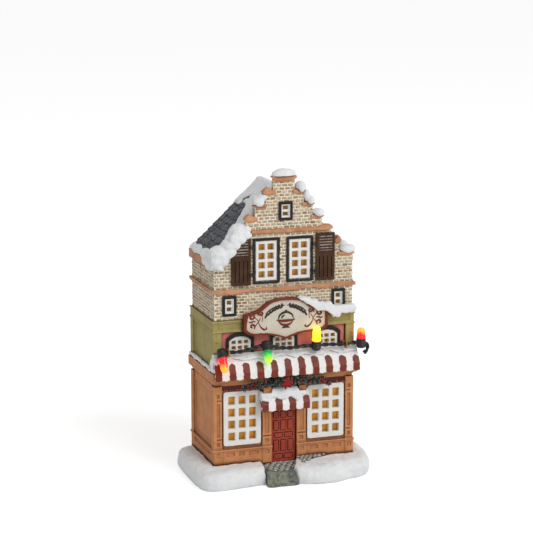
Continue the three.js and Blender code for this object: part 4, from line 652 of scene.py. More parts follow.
wallCasts = [
    ("cornice", "brown", dict(voxel=0.3, keep=0.3)),
    ("panel_storey_walls", "green", dict(voxel=0.24, keep=0.2, relax=1)),
    ("mauve_panel", "mauve", dict(voxel=0.3, keep=0.4)),
    ("belt_course", "terracotta", dict(voxel=0.26, keep=0.5, wobble=0.24, ripple=300.0)),
    ("eave_course", "terracotta", dict(voxel=0.28, keep=0.5, wobble=0.4, ripple=240.0)),
    ("shop_door", "door", dict(voxel=0.13, keep=0.4, relax=1)),
]
pairedCasts = [
    ("shop_window_", "white", dict(voxel=0.22, keep=0.5)),
    ("upper_window_", "white", dict(voxel=0.2, keep=0.5, relax=1)),
    ("upper_surround_", "black", dict(voxel=0.16, keep=0.7, wobble=0.2, ripple=800)),
    ("shutter_", "shutter", dict(voxel=0.12, keep=0.4, relax=1)),
]
archCasts = [
    ("arch_window_", "white", dict(voxel=0.17, keep=0.6, relax=1)),
    ("arch_surround_", "black", dict(voxel=0.14, keep=0.8, wobble=0.26, ripple=900)),
]


def makeWalls():
    castPiece("shop_walls", "brown_paint", [finish["brown"], finish["strip"]], choose=onStrip, voxel=0.22,
              keep=0.14, relax=1)
    groups = ((wallCasts, [""]), (pairedCasts, ["left", "right"]), (archCasts, ["left", "middle", "right"]))
    for casts, sides in groups:
        for side in sides:
            for node, paint, settings in casts:
                castPiece(node + side, paint + "_paint", [finish[paint]], **settings)


makeWalls()
print("walls cast")


def makeLittleWindows():
    # white sash, black surround, cast in one
    def surroundTest(x, z, opening):
        def choose(face):
            fx, fy, fz = onHouse(face.center)
            lap = surround["lap"]
            beside = abs(fx - x) > opening["width"] / 2 - lap
            above = fz < z + lap or fz > z + opening["height"] - lap
            return 1 if fy < -surround["proud"] and (beside or above) else 0
        return choose
    sides = zip(("small_window_left", "small_window_right", "attic_window"),
                openings["small"]["places"] + openings["attic"]["places"],
                (openings["small"], openings["small"], openings["attic"]))
    for node, (x, z), opening in sides:
        castPiece(node, "black_paint", [finish["white"], finish["black"]], voxel=0.13, keep=0.8, relax=1,
                  wobble=0.08, ripple=900, choose=surroundTest(x, z, opening))


makeLittleWindows()


# Brick walls: mortar with terracotta copings, and the bricks one by one
def stepHalf(step):
    if step == 0:
        return house["half"]
    return house["capHalf"] + (house["steps"] - step) * house["stepRun"]


def stepTop(step):
    return house["eaves"] + house["shoulder"] + step * house["stepRise"]


def gableHalf(z):
    # half the width of the stepped gable at a level
    for step in range(house["steps"] + 1):
        if z < stepTop(step):
            return stepHalf(step)
    return 0.0


def roofHalf(z):
    # half the width of the wall under the roof at a level
    if z < house["eaves"]:
        return house["half"]
    return house["half"] * (1 - (z - house["eaves"]) / house["roofRise"])


def copingFace(face):
    # what stands out of the plain stepped gable is a coping
    x, y, z = onHouse(face.center)
    if z < house["eaves"] + coping["over"] or y > house["wall"] + coping["behind"]:
        return 0
    proud = coping["proud"]
    return 1 if y < -proud or abs(x) > gableHalf(z) + proud or z > house["gableTop"] else 0


castPiece("brick_walls", "brick_paint", [finish["mortar"], finish["terracotta"]], voxel=0.3, keep=0.3,
          wobble=0.1, choose=copingFace)

bricks = dict(pitch=1.5, height=1.06, length=2.8, joint=0.5, proud=0.24, least=0.45, seed=11,
              edge=0.1, underEaves=2.6, atCoping=0.3, head=0.6, tuck=0.15, clear=0.05, drift=0.06, shift=0.3,
              rearHead=0.8, overRoof=1.0, leastHalf=1.0, proudRange=(0.5, 1.0), tallRange=(0.88, 1.08))


def scatterTree(name):
    # sets a copy of one shape on every point, turned and sized by the point's values and a little chance
    tree, given, out = newGroup(name, {
        "Geometry": "Geometry", "Shape": "Object", "Seed": 1, "Turn Chance": 0.03, "Size Chance": 0.08,
        "Roughen": 0.00005, "Ripple": 900.0, "Finish": "Material",
    }, {"Geometry": "Geometry"}, "GeometryNodeTree")

    def named(label):
        node = put(tree, "GeometryNodeInputNamedAttribute", {"Name": label}, data_type="FLOAT_VECTOR")
        return node.outputs["Attribute"]

    def chance(label, shift):
        reach = put(tree, "ShaderNodeCombineXYZ", {k: given[label] for k in range(3)}).outputs[0]
        seed = put(tree, "ShaderNodeMath", {0: given["Seed"], 1: shift}, operation="ADD").outputs[0]
        ends = {"Min": calcVector(tree, "MULTIPLY", reach, (-1, -1, -1)), "Max": reach, "Seed": seed}
        return put(tree, "FunctionNodeRandomValue", ends, data_type="FLOAT_VECTOR").outputs["Value"]

    turned = calcVector(tree, "ADD", named("turn"), chance("Turn Chance", 3))
    swing = put(tree, "FunctionNodeEulerToRotation", {"Euler": turned}).outputs["Rotation"]
    grow = calcVector(tree, "ADD", chance("Size Chance", 7), (1, 1, 1))
    size = calcVector(tree, "MULTIPLY", named("size"), grow)
    shape = put(tree, "GeometryNodeObjectInfo", {"Object": given["Shape"]}).outputs["Geometry"]
    copies = put(tree, "GeometryNodeInstanceOnPoints", {
        "Points": given["Geometry"], "Instance": shape, "Rotation": swing, "Scale": size}).outputs[0]
    tone = put(tree, "FunctionNodeRandomValue", data_type="FLOAT")
    plug(tree, tone.inputs["Seed"], given["Seed"])
    kept = put(tree, "GeometryNodeStoreNamedAttribute", {"Geometry": copies, "Name": "tone"},
               data_type="FLOAT", domain="INSTANCE")
    plug(tree, kept.inputs["Value"], [s for s in tone.outputs if s.enabled][0])
    whole = put(tree, "GeometryNodeRealizeInstances", {"Geometry": kept.outputs["Geometry"]})
    cloud = put(tree, "ShaderNodeTexNoise", {"Scale": given["Ripple"], "Detail": 2.0}).outputs["Color"]
    centred = calcVector(tree, "SUBTRACT", cloud, (0.5, 0.5, 0.5))
    shove = put(tree, "ShaderNodeVectorMath", {0: centred, "Scale": given["Roughen"]}, operation="SCALE")
    moved = put(tree, "GeometryNodeSetPosition", {"Geometry": whole.outputs["Geometry"],
                                                  "Offset": shove.outputs["Vector"]})
    painted = put(tree, "GeometryNodeSetMaterial",
                  {"Geometry": moved.outputs["Geometry"], "Material": given["Finish"]})
    plug(tree, out["Geometry"], painted.outputs["Geometry"])
    return tree


scatter = scatterTree("setCopies")


def setCopies(name, points, shape, material, slot, nodes=(), **values):
    # points: a list of (place, turn, size); the shape's own object goes once its copies are set
    mesh = bpy.data.meshes.new(name)
    mesh.from_pydata([p for p, turn, size in points], [], [])
    for label, index in (("turn", 1), ("size", 2)):
        layer = mesh.attributes.new(label, "FLOAT_VECTOR", "POINT")
        layer.data.foreach_set("vector", [v for point in points for v in point[index]])
    piece = linkPiece(name, mesh)
    made = piece.modifiers.new("copies", "NODES")
    made.node_group = scatter
    names = {item.name: item.identifier for item in scatter.interface.items_tree if item.in_out == "INPUT"}
    settings = {"Shape": shape, "Finish": material, **{k.replace("_", " "): v for k, v in values.items()}}
    for label, value in settings.items():
        made[names[label]] = value
    applied(piece)
    smoothShade(piece.data)
    bpy.data.objects.remove(shape)
    finishPiece(piece, [], slot, nodes)


def blockShape(name, bevel, rough, seed):
    # a small block with soft, uneven edges, one unit across
    block = bmesh.new()
    bmesh.ops.create_cube(block, size=1.0)
    bmesh.ops.bevel(block, geom=block.edges[:], offset=bevel, segments=1, affect="EDGES", profile=0.5)
    chance = random.Random(seed)
    for point in block.verts:
        point.co += Vector([chance.uniform(-rough, rough) for _ in range(3)])
    mesh = meshFrom(block, name)
    # where a point lies on the block: up from its bottom, and out from its middle to either end
    for label, valueAt in (("rise", lambda p: p.z + 0.5), ("tip", lambda p: abs(p.x) * 2)):
        layer = mesh.attributes.new(label, "FLOAT", "POINT")
        layer.data.foreach_set("value", [valueAt(v.co) for v in mesh.vertices])
    return linkPiece(name, mesh)


def cutSpans(spans, gaps):
    # spans of a course with the openings taken out
    for low, high in gaps:
        beside = [((a, min(b, low)), (max(a, high), b)) for a, b in spans]
        spans = [span for pair in beside for span in pair if span[1] > span[0]]
    return spans


def layCourses(low, high, spansAt, place, turn, out, course=0):
    # bricks in running bond that fill the height between two levels
    chance = random.Random(bricks["seed"] + len(out))
    rows = max(1, round((high - low) / bricks["pitch"]))
    pitch = (high - low) / rows
    for row in range(rows):
        middle = low + (row + 0.5) * pitch
        shift = bricks["length"] * ((row + course) % 2) / 2
        shift += chance.uniform(-bricks["shift"], bricks["shift"])
        for a, b in spansAt(middle):
            first = math.floor((a - shift) / bricks["length"])
            last = math.ceil((b - shift) / bricks["length"])
            for k in range(first, last + 1):
                left = max(a, k * bricks["length"] + shift) + bricks["joint"] / 2
                right = min(b, (k + 1) * bricks["length"] + shift) - bricks["joint"] / 2
                if right - left < bricks["least"]:
                    continue
                proud = bricks["proud"] * chance.uniform(*bricks["proudRange"])
                tall = pitch / bricks["pitch"] * bricks["height"] * chance.uniform(*bricks["tallRange"])
                size = ((right - left) * mm, 2 * proud * mm, tall * mm)
                level = middle + chance.uniform(-bricks["drift"], bricks["drift"])
                out.append((place((left + right) / 2, level), turn, size))


def frontSpans(z):
    half = gableHalf(z + bricks["head"])
    gaps = []
    for kind in openings.values():
        over = kind["rim"] + bricks["clear"]
        for x, base in kind["places"]:
            if base - over < z < base + kind["height"] + over:
                reach = kind["width"] / 2 + kind["rim"] - bricks["tuck"]
                gaps.append((x - reach, x + reach))
    return cutSpans([(-half, half)], gaps)


def rearSpans(z):
    half = roofHalf(z + bricks["rearHead"])
    return [(-half, half)] if half > bricks["leastHalf"] else []


def behindSpans(z):
    # the back of the gable, above the roof
    slope = house["roofRise"] / house["half"]
    ridge = house["eaves"] + house["roofRise"] + house["roofSheet"]
    roofAt = (ridge + bricks["overRoof"] - z) / slope
    half, inner = gableHalf(z + bricks["head"]), max(0.0, roofAt)
    if inner >= half:
        return []
    return [(-half, half)] if inner <= 0 else [(-half, -inner), (inner, half)]


def brickMaterial():
    # tan and grey-brown bricks, each with its own tone, with a ragged painted shadow along the bottom edge
    def tones(tree, where):
        tone = carried(tree, "tone")
        ramp = tree.nodes.new("ShaderNodeValToRGB")
        plug(tree, ramp.inputs["Fac"], tone)
        stops = [(0.0, (148, 112, 76)), (0.2, (196, 162, 120)), (0.42, (214, 190, 154)),
                 (0.64, (176, 150, 118)), (0.84, (226, 208, 178)), (1.0, (118, 98, 78))]
        ramp.color_ramp.elements[0].color = colour(*stops[0][1])
        ramp.color_ramp.elements[1].color = colour(*stops[-1][1])
        for spot, shade in stops[1:-1]:
            ramp.color_ramp.elements.new(spot).color = colour(*shade)
        stain = spread(tree, grains(tree, where, 1300.0, 4, 0.7), 0.48, 0.7, 0.0, 0.5)
        stained = blend(tree, stain, ramp.outputs["Color"], colour(226, 214, 190))
        # painted shadow: a ragged dark line along each brick's bottom edge
        rise = carried(tree, "rise")
        ragged = spread(tree, grains(tree, where, 420.0, 3), 0.43, 0.54)
        stroke = times(tree, spread(tree, rise, 0.36, 0.14), ragged)
        return blend(tree, stroke, stained, colour(72, 58, 46))
    look = dict(paint=(204, 180, 148), washShade=(110, 90, 70), wornAndHighlight=(240, 230, 210), mottle=0.3, washShadeAmount=0.35,
                wearAndHighlight=0.4, scale=900.0, bump=0.0001, reach=0.0006)
    return paintMaterial("brick_paint", look, tones)


def makeBricks():
    laid, upright, quarter = [], (0, 0, 0), (0, 0, math.pi / 2)
    edge, aside = bricks["edge"], bricks["atCoping"]
    lower = (house["panelTop"], house["belt"])
    beltTop, ledgeTop = house["belt"] + house["beltHeight"], house["ledge"] + house["ledgeHeight"]
    sideWall = (lower, (beltTop, house["eaves"] - bricks["underEaves"]))
    for low, high in (lower, (beltTop, house["ledge"]), (ledgeTop, house["gableTop"])):
        layCourses(low + edge, high - edge, frontSpans, lambda u, z: at(u, 0, z), upright, laid)
    for side in (-1, 1):
        for low, high in sideWall:
            layCourses(low + edge, high - edge, lambda z: [(0.0, house["rear"])],
                       lambda u, z, s=side: at(s * house["half"], u, z), quarter, laid, 1)
        for step in range(1, house["steps"] + 1):
            x = side * stepHalf(step)
            bottom = stepTop(step - 1) + house["copingHeight"] + aside
            layCourses(bottom, stepTop(step) - aside, lambda z: [(0.0, house["wall"])],
                       lambda u, z, x=x: at(x, u, z), quarter, laid, step)
    for low, high in (*sideWall, (house["eaves"], house["eaves"] + house["roofRise"])):
        layCourses(low + edge, high - edge, rearSpans, lambda u, z: at(u, house["rear"], z), upright, laid)
    layCourses(house["eaves"], house["gableTop"], behindSpans,
               lambda u, z: at(u, house["wall"], z), upright, laid)
    setCopies("bricks", laid, blockShape("brick_shape", bevel=0.13, rough=0.04, seed=4),
              brickMaterial(), "brick_paint",
              Seed=bricks["seed"], Turn_Chance=0.035, Size_Chance=0.06, Roughen=0.00025, Ripple=700.0)
    return len(laid)


print("bricks laid:", makeBricks())


# Slate roof
slates = dict(courses=13, width=2.3, thick=0.62, lap=1.22, gap=0.34, seed=23, first=0.62, lift=0.66,
              flare=0.09, least=0.6, overGable=0.3, overRear=0.5, drift=0.12, bounce=0.08,
              lengthRange=(0.88, 1.03))


def makeSlates():
    castPiece("slate_roof", "slate_paint", [finish["slate"]], voxel=0.4, keep=0.3)
    run = house["half"] - house["roofInset"]
    slope = house["roofRise"] / house["half"]
    tilt = math.atan(slope)
    pitch = run / slates["courses"]
    ridge = house["eaves"] + house["roofRise"] + house["roofSheet"]
    points, chance = [], random.Random(slates["seed"])
    front, back = house["wall"] + slates["overGable"], house["rear"] + slates["overRear"]
    drift, bounce = slates["drift"], slates["bounce"]
    for side in (-1, 1):
        for course in range(slates["courses"]):
            x = run - (course + slates["first"]) * pitch
            z = ridge - x * slope + slates["lift"]
            start = front - (course % 2) * slates["width"] / 2
            for k in range(int((back - front) / slates["width"]) + 2):
                y0 = max(front, start + k * slates["width"])
                y1 = min(back, start + (k + 1) * slates["width"])
                if y1 - y0 < slates["least"]:
                    continue
                length = pitch / math.cos(tilt) * slates["lap"] * chance.uniform(*slates["lengthRange"])
                size = (length * mm, (y1 - y0 - slates["gap"]) * mm, slates["thick"] * mm)
                spot = at(side * (x + chance.uniform(-drift, drift)), (y0 + y1) / 2,
                          z + chance.uniform(-bounce, bounce))
                points.append((spot, (0, side * (tilt - slates["flare"]), 0), size))
    setCopies("slates", points, blockShape("slate_shape", bevel=0.07, rough=0.045, seed=9),
              slateMaterial(), "slate_paint",
              Seed=slates["seed"], Turn_Chance=0.035, Size_Chance=0.04, Roughen=0.00016, Ripple=900.0)


def slateMaterial():
    # dark slates, each with its own tone, brushed pale along their tips
    def tones(tree, where):
        tone = carried(tree, "tone")
        tip = carried(tree, "tip")
        body = blend(tree, spread(tree, tone, 0.1, 0.9), colour(12, 13, 16), colour(48, 51, 57))
        fine = spread(tree, grains(tree, where, 1100.0, 4, 0.7), 0.36, 0.6)
        brushed = times(tree, spread(tree, tip, 0.72, 0.94), fine)
        return blend(tree, times(tree, brushed, 0.9), body, colour(176, 180, 187))
    look = {**paints["slate"], "scale": 900.0, "reach": 0.0008, "wearAndHighlight": 0.4, "washShadeAmount": 1.0}
    return paintMaterial("slates_paint", look, tones)


makeSlates()
print("roof slated")


# Awnings: striped by their own pitch, with rough brushed seams between the colours
awnings = dict(
    main_awning=dict(width=72.4, middle=0.0, stripes=21, snowLine=58.6),
    door_awning=dict(width=24.2, middle=-0.8, stripes=7, snowLine=40.2),
)
# the two darker colours give each stripe's dark glaze and painted shade in its sunken places
stripe = dict(red=(120, 38, 18), redWash=(60, 20, 10), white=(248, 246, 244), whiteWash=(212, 207, 203),
              waver=0.34, sag=0.9, uneven=0.9)


def stripeMaterial(name, look):
    def stripes(tree, where):
        parts = put(tree, "ShaderNodeSeparateXYZ", {0: where}).outputs
        side = stripe["waver"] * mm
        waver = spread(tree, grains(tree, where, 520.0, 2), 0.2, 0.8, -side, side)
        left = (house["shiftX"] + look["middle"] - look["width"] / 2) * mm
        along = less(tree, plus(tree, parts[0], waver), left)
        count = calc(tree, "DIVIDE", along, look["width"] / look["stripes"] * mm)
        # an even number of stripes is added, so that none has a number below nought
        odd = calc(tree, "MODULO", plus(tree, count, 40.0), 2.0)
        start = less(tree, 1.0, spread(tree, odd, 0.0, 0.012))
        white = calc(tree, "MAXIMUM", spread(tree, odd, 0.985, 1.015), start)
        # the red ends in rounded, uneven tops where the snow begins
        across = less(tree, times(tree, calc(tree, "FRACT", count), 2.0), 1.0)
        sag = times(tree, times(tree, across, across), stripe["sag"] * mm)
        rise = stripe["uneven"] * mm
        uneven = spread(tree, grains(tree, where, 110.0, 2), 0.3, 0.7, -rise, rise)
        top = less(tree, plus(tree, uneven, look["snowLine"] * mm), sag)
        capped = spread(tree, less(tree, parts[2], top), -0.05 * mm, 0.12 * mm)
        pale = calc(tree, "MAXIMUM", white, capped)
        # the paint, and the colour of the dark glaze and painted shade in its sunken places
        return (blend(tree, pale, colour(*stripe["red"]), colour(*stripe["white"])),
                blend(tree, pale, colour(*stripe["redWash"]), colour(*stripe["whiteWash"])))
    # the pale colour rubbed on the folds of the red is a painted highlight
    looks = dict(paint=stripe["red"], washShade=stripe["redWash"], wornAndHighlight=(208, 152, 126), mottle=0.2, washShadeAmount=0.45,
                 wearAndHighlight=0.35, rough=-0.1, shine=0.35)
    return paintMaterial(name + "_stripes", looks, stripes)


def makeConsoles():
    # consoles over the door, half sunk in the snow, each with a sunk field
    skin = bmesh.new()
    deep = consoles["back"] - consoles["front"]
    for x, z in consoles["places"]:
        where = Matrix.Translation(at(x, (consoles["back"] + consoles["front"]) / 2, z))
        size = Matrix.Diagonal([v * mm for v in (consoles["width"], deep, consoles["height"])] + [1.0])
        made = bmesh.ops.create_cube(skin, size=1.0, matrix=where @ size)
        sides = {face for point in made["verts"] for face in point.link_faces}
        field = [face for face in sides if face.normal.y < -0.5]
        bmesh.ops.inset_region(skin, faces=field, thickness=consoles["field"] * mm)
        bmesh.ops.translate(skin, verts=field[0].verts[:], vec=(0, consoles["sunk"] * mm, 0))
    piece = remade("door_consoles", meshFrom(skin, "door_consoles"), consoles["voxel"], consoles["relax"],
                   consoles["keep"])
    jostle(piece.data, consoles["wobble"] * mm, consoles["ripple"])
    dress(piece.data)
    finishPiece(piece, [finish["brown"]], "brown_paint")


makeConsoles()

for node, look in awnings.items():
    castPiece(node, "awning_paint", [stripeMaterial(node, look)], voxel=0.2, keep=0.5, relax=1, wobble=0.14,
              ripple=500.0)
print("awnings hung")


# Path: a mossy bed with cobbles on top, and a strip of paving along the wall right of the door
path = dict(middle=-5.5, lean=3.0, stone=2.75, high=0.9, seed=31, first=1.6, last=-0.9, half=6.0, widen=1.1,
            turnFrom=4.0, turnTo=5.8, drop=0.05, columns=(-5, 8), wide=(0.82, 0.96), deep=(0.76, 0.88),
            aside=0.14, ahead=0.12, tip=0.08, twist=0.25)
paving = dict(start=6.9, rows=[(-1.7, 22.5), (-3.6, 18.5), (-5.5, 14.5), (-7.3, 11.5), (-9.0, 9.5)],
              stone=2.15, proud=0.34, bedStart=6.3, bedEnd=23.2, bedNear=-10.2, bedFar=-2.6, bedBack=-0.7,
              bedProud=0.16, bedThick=0.6, bedEdge=0.35, columns=34, lines=14, lookFrom=40.0,
              bow=0.7, ragged=0.3)


def footTree():
    foot = frame["nodes"]["snow_foot"].data
    return BVHTree.FromPolygons([v.co[:] for v in foot.vertices], [p.vertices[:] for p in foot.polygons])


def snowLevel(ground, x, y):
    # the height of the foot's snow at a place, in the drawing's mm
    hit = ground.ray_cast(at(x, y, paving["lookFrom"]), Vector((0, 0, -1)))[0]
    return None if hit is None else hit.z / mm


def makePavingBed(ground, material):
    # a thin bed for the paving, that follows the snow's height
    skin = bmesh.new()
    chance = random.Random(path["seed"] + 2)
    grid = []
    for i in range(paving["columns"] + 1):
        share = i / paving["columns"]
        x = paving["bedStart"] + share * (paving["bedEnd"] - paving["bedStart"])
        near = paving["bedNear"] + (paving["bedFar"] - paving["bedNear"]) * share ** paving["bow"]
        near += chance.uniform(-paving["ragged"], paving["ragged"])
        column = []
        for k in range(paving["lines"] + 1):
            y = paving["bedBack"] + (near - paving["bedBack"]) * k / paving["lines"]
            level = snowLevel(ground, x, y) or house["footSeat"]
            edge = paving["bedEdge"] if k == paving["lines"] or i == paving["columns"] else 0.0
            column.append(skin.verts.new(at(x, y, level + paving["bedProud"] - edge)))
        grid.append(column)
    stretchOver(skin, grid)
    piece = linkPiece("paving_bed", meshFrom(skin, "paving_bed"))
    thick = piece.modifiers.new("thick", "SOLIDIFY")
    thick.thickness, thick.offset = paving["bedThick"] * mm, -1.0
    applied(piece)
    dress(piece.data)
    finishPiece(piece, [material], "path_stone")


def stretchOver(skin, grid):
    # faces between neighbouring rows of points
    for a, b in zip(grid, grid[1:]):
        for k in range(len(a) - 1):
            skin.faces.new((a[k], a[k + 1], b[k + 1], b[k]))


def mossOn(tree, where):
    patch = spread(tree, grains(tree, where, 230.0, 4, 0.65), 0.44, 0.58)
    speck = spread(tree, grains(tree, where, 900.0, 4, 0.7), 0.5, 0.62)
    mossy = blend(tree, patch, colour(92, 95, 90), colour(124, 128, 96))
    return blend(tree, times(tree, speck, 0.6), mossy, colour(168, 172, 158))


def makePath():
    bed = paintMaterial("path_bed", {**paints["stone"], "scale": 600.0, "bump": 0.0004}, mossOn)
    castPiece("cobble_path", "path_stone", [bed], voxel=0.25, keep=0.7, wobble=0.5, ripple=620)
    low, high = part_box("cobble_path")
    front = onHouse(low)[1] + path["lean"] + path["first"]
    middle, stone = path["middle"], path["stone"]
    points, chance = [], random.Random(path["seed"])

    def either(label):
        return chance.uniform(-path[label], path[label])

    def setStone(x, y, level, stone):
        wide, deep = stone * chance.uniform(*path["wide"]), stone * chance.uniform(*path["deep"])
        spot = at(x + either("aside"), y + either("ahead"), level)
        turn = (either("tip"), either("tip"), either("twist"))
        points.append((spot, turn, (wide * mm, deep * mm, path["high"] * mm)))

    for row in range(int((path["last"] - front) / stone) + 1):
        y = front + (row + 0.5) * stone
        for k in range(*path["columns"]):
            x = middle + (k + 0.5 * (row % 2)) * stone * path["widen"]
            aside = middle < x < path["turnTo"] and y > front + path["turnFrom"]
            if abs(x - middle) < path["half"] or aside:
                setStone(x, y, house["footSeat"] - path["drop"], stone)
    ground = footTree()
    makePavingBed(ground, bed)
    for row, (y, end) in enumerate(paving["rows"]):
        for k in range(int((end - paving["start"]) / paving["stone"])):
            x = paving["start"] + (k + 0.5 * (row % 2)) * paving["stone"]
            level = snowLevel(ground, x, y)
            if level is not None:
                setStone(x, y, level + paving["proud"], paving["stone"])
    wornAndHighlight = dict(paint=(184, 186, 178), wornAndHighlight=(226, 228, 222), mottle=0.8, washShadeAmount=1.1, reach=0.0008, scale=900.0)
    material = paintMaterial("cobble_paint", {**paints["stone"], **wornAndHighlight})
    shape = blockShape("cobble_shape", bevel=0.24, rough=0.05, seed=5)
    setCopies("cobbles", points, shape, material, "path_stone",
              Seed=path["seed"], Turn_Chance=0.05, Size_Chance=0.08, Roughen=0.00035, Ripple=700.0)


makePath()
print("path laid")


# Curves made mesh: scrolls, wire, hinges
def catmull(points, count):
    # smooth places through the points, by the square root of the distance between them
    points = [Vector(p) for p in points]
    ends = [2 * points[0] - points[1]] + points + [2 * points[-1] - points[-2]]
    made = []
    for i in range(1, len(ends) - 2):
        four = ends[i - 1:i + 3]
        knots = [0.0]
        for near, far in zip(four, four[1:]):
            knots.append(knots[-1] + max((far - near).length, 1e-9) ** 0.5)
        for k in range(count):
            t = knots[1] + (knots[2] - knots[1]) * k / count

            def between(i, j, a, b):
                low, high = knots[i], knots[j]
                return (high - t) / (high - low) * a + (t - low) / (high - low) * b
            p, q, r = [between(j, j + 1, four[j], four[j + 1]) for j in range(3)]
            made.append(between(1, 2, between(0, 2, p, q), between(1, 3, q, r)))
    made.append(points[-1].copy())
    return made


def heading(points, i):
    return (points[min(i + 1, len(points) - 1)] - points[max(i - 1, 0)]).normalized()


def tubeInto(skin, points, radiusAt, sides=8, flat=None):
    # a closed tube through the points, in an open bmesh; flat squeezes it along one direction
    rings = []
    side = None
    for i, point in enumerate(points):
        ahead = heading(points, i)
        if side is None:
            side = ahead.orthogonal().normalized()
        side = (side - ahead * side.dot(ahead)).normalized()
        other = ahead.cross(side)
        radius = radiusAt(i / (len(points) - 1))
        ring = []
        for k in range(sides):
            angle = k / sides * 2 * math.pi
            offset = (side * math.cos(angle) + other * math.sin(angle)) * radius
            if flat:
                axis, share = flat
                offset -= axis * offset.dot(axis) * (1 - share)
            ring.append(skin.verts.new(point + offset))
        rings.append(ring)
    for low, high in zip(rings, rings[1:]):
        for k in range(sides):
            skin.faces.new((low[k], low[(k + 1) % sides], high[(k + 1) % sides], high[k]))
    skin.faces.new(list(reversed(rings[0])))
    skin.faces.new(rings[-1])


def tubePiece(name, runs, sides=8, flat=None):
    # runs: a list of (points, radiusAt)
    skin = bmesh.new()
    for points, radiusAt in runs:
        tubeInto(skin, points, radiusAt, sides, flat)
    bmesh.ops.recalc_face_normals(skin, faces=skin.faces)
    piece = linkPiece(name, meshFrom(skin, name))
    smoothShade(piece.data)
    return piece


# Sign board
sign = dict(width=42.0, base=73.2, end=8.0, crown=6.6, drop=5.0, border=1.3, proud=0.8, lap=0.1,
            depth=0.35, paint=0.02, thin=0.35)


def signOutline(inset, count=10):
    # the board's edge, in the drawing's mm, as curves of the right half and their mirrored copies
    w = sign["width"] / 2 - inset
    base, top = sign["base"] + inset * 0.6, sign["base"] + sign["end"] - inset * 0.8
    drop, crown = sign["drop"], sign["crown"]
    low = [(w, base), (w * 0.92, base - 2.2), (w * 0.76, base - 2.4)]
    lowest = [(w * 0.76, base - 2.4), (w * 0.5, base - 2.2), (w * 0.3, base - 2.6), (0, base - drop)]
    high = [(w, top), (w * 0.8, top + 0.2), (w * 0.62, top + 1.4), (w * 0.5, top + crown * 0.6)]
    highest = [(w * 0.5, top + crown * 0.6), (w * 0.36, top + crown * 0.98), (w * 0.2, top + crown),
               (0, top + crown)]

    def mirrored(curve):
        return [(-x, z) for x, z in curve]

    curves = [mirrored(low), mirrored(lowest), lowest[::-1], low[::-1], [(w, base), (w, top)], high,
              highest, mirrored(highest[::-1]), mirrored(high[::-1])]
    return [bezier(curve, k / count) for curve in curves for k in range(count)]


def bezier(points, t):
    points = [Vector(p) for p in points]
    while len(points) > 1:
        points = [a.lerp(b, t) for a, b in zip(points, points[1:])]
    return tuple(points[0])


def within(outline, x, z):
    inside = False
    for (x0, z0), (x1, z1) in zip(outline, outline[1:] + outline[:1]):
        if (z0 > z) != (z1 > z) and x < (x1 - x0) * (z - z0) / (z1 - z0) + x0:
            inside = not inside
    return inside


def scroll(x, z, size, turns, start, hand, stem):
    # a spiral that unrolls into a stem; in the drawing's mm
    count = 26
    points = []
    for k in range(count):
        t = k / (count - 1)
        angle = start + hand * turns * 2 * math.pi * t
        radius = size * (0.16 + 0.84 * t)
        points.append((x + radius * math.cos(angle), z + radius * math.sin(angle)))
    return points + stem


# Painted strokes as points and width: those of one half, which the other mirrors, and those in the middle
scrolls = [
    (scroll(17.0, 79.7, 1.5, 1.1, 2.4, -1, [(15.2, 79.2), (13.8, 77.6), (13.4, 76.0)]), 0.5),
    (scroll(16.7, 75.0, 1.4, 1.0, -2.2, 1, [(14.9, 75.6), (13.6, 77.2), (12.6, 79.2)]), 0.5),
    (scroll(12.3, 81.2, 1.25, 1.0, 0.4, 1, [(11.6, 79.2), (11.9, 77.2)]), 0.46),
    ([(18.6, 77.4), (17.4, 77.1), (16.2, 77.5), (15.0, 77.3)], 0.42),
    ([(13.4, 76.0), (12.2, 74.2), (10.6, 73.2), (9.6, 73.6), (9.9, 74.6)], 0.46),
    ([(14.6, 82.2), (13.9, 81.2), (13.9, 79.9)], 0.4),
]
laurel = dict(branch=[(0.6, 84.3), (3.4, 84.1), (6.2, 83.3), (8.8, 81.9), (10.2, 80.6)], leaves=6,
              first=1.5, pitch=1.55, level=84.3, fall=0.042, tilt=-0.09, length=1.3, spread=1.15)
dishRed = [
    ([(-4.6, 77.3), (-2.4, 76.9), (0, 76.8), (2.4, 76.9), (4.6, 77.3)], 0.68),
    ([(-3.6, 76.7), (-2.2, 75.2), (0, 74.7), (2.2, 75.2), (3.6, 76.7)], 0.62),
]
dishDark = [
    ([(-3.7, 77.7), (-3.2, 79.4), (-1.4, 80.7), (0, 81.0), (1.4, 80.7), (3.2, 79.4), (3.7, 77.7)], 0.56),
    ([(-2.2, 78.0), (-1.6, 79.0), (-0.4, 79.7)], 0.42),
    ([(0, 81.0), (0.1, 81.6), (0, 82.1)], 0.56),
    ([(-1.9, 73.4), (0, 73.9), (1.9, 73.4)], 0.55),
]


def laurelStrokes():
    # one branch of a laurel band, with leaves above and below it
    strokes = [(laurel["branch"], 0.4)]
    for k in range(laurel["leaves"]):
        x = laurel["first"] + k * laurel["pitch"]
        z = laurel["level"] - laurel["fall"] * x * x
        tilt = laurel["tilt"] * x
        for up in (-1, 1):
            tip = (x + laurel["length"] * math.cos(tilt) - up * 0.4,
                   z + up * laurel["spread"] + laurel["length"] * math.sin(tilt))
            strokes.append(([(x, z), ((x + tip[0]) / 2 + 0.1, (z + tip[1]) / 2 + up * 0.2), tip], 0.5))
    return strokes


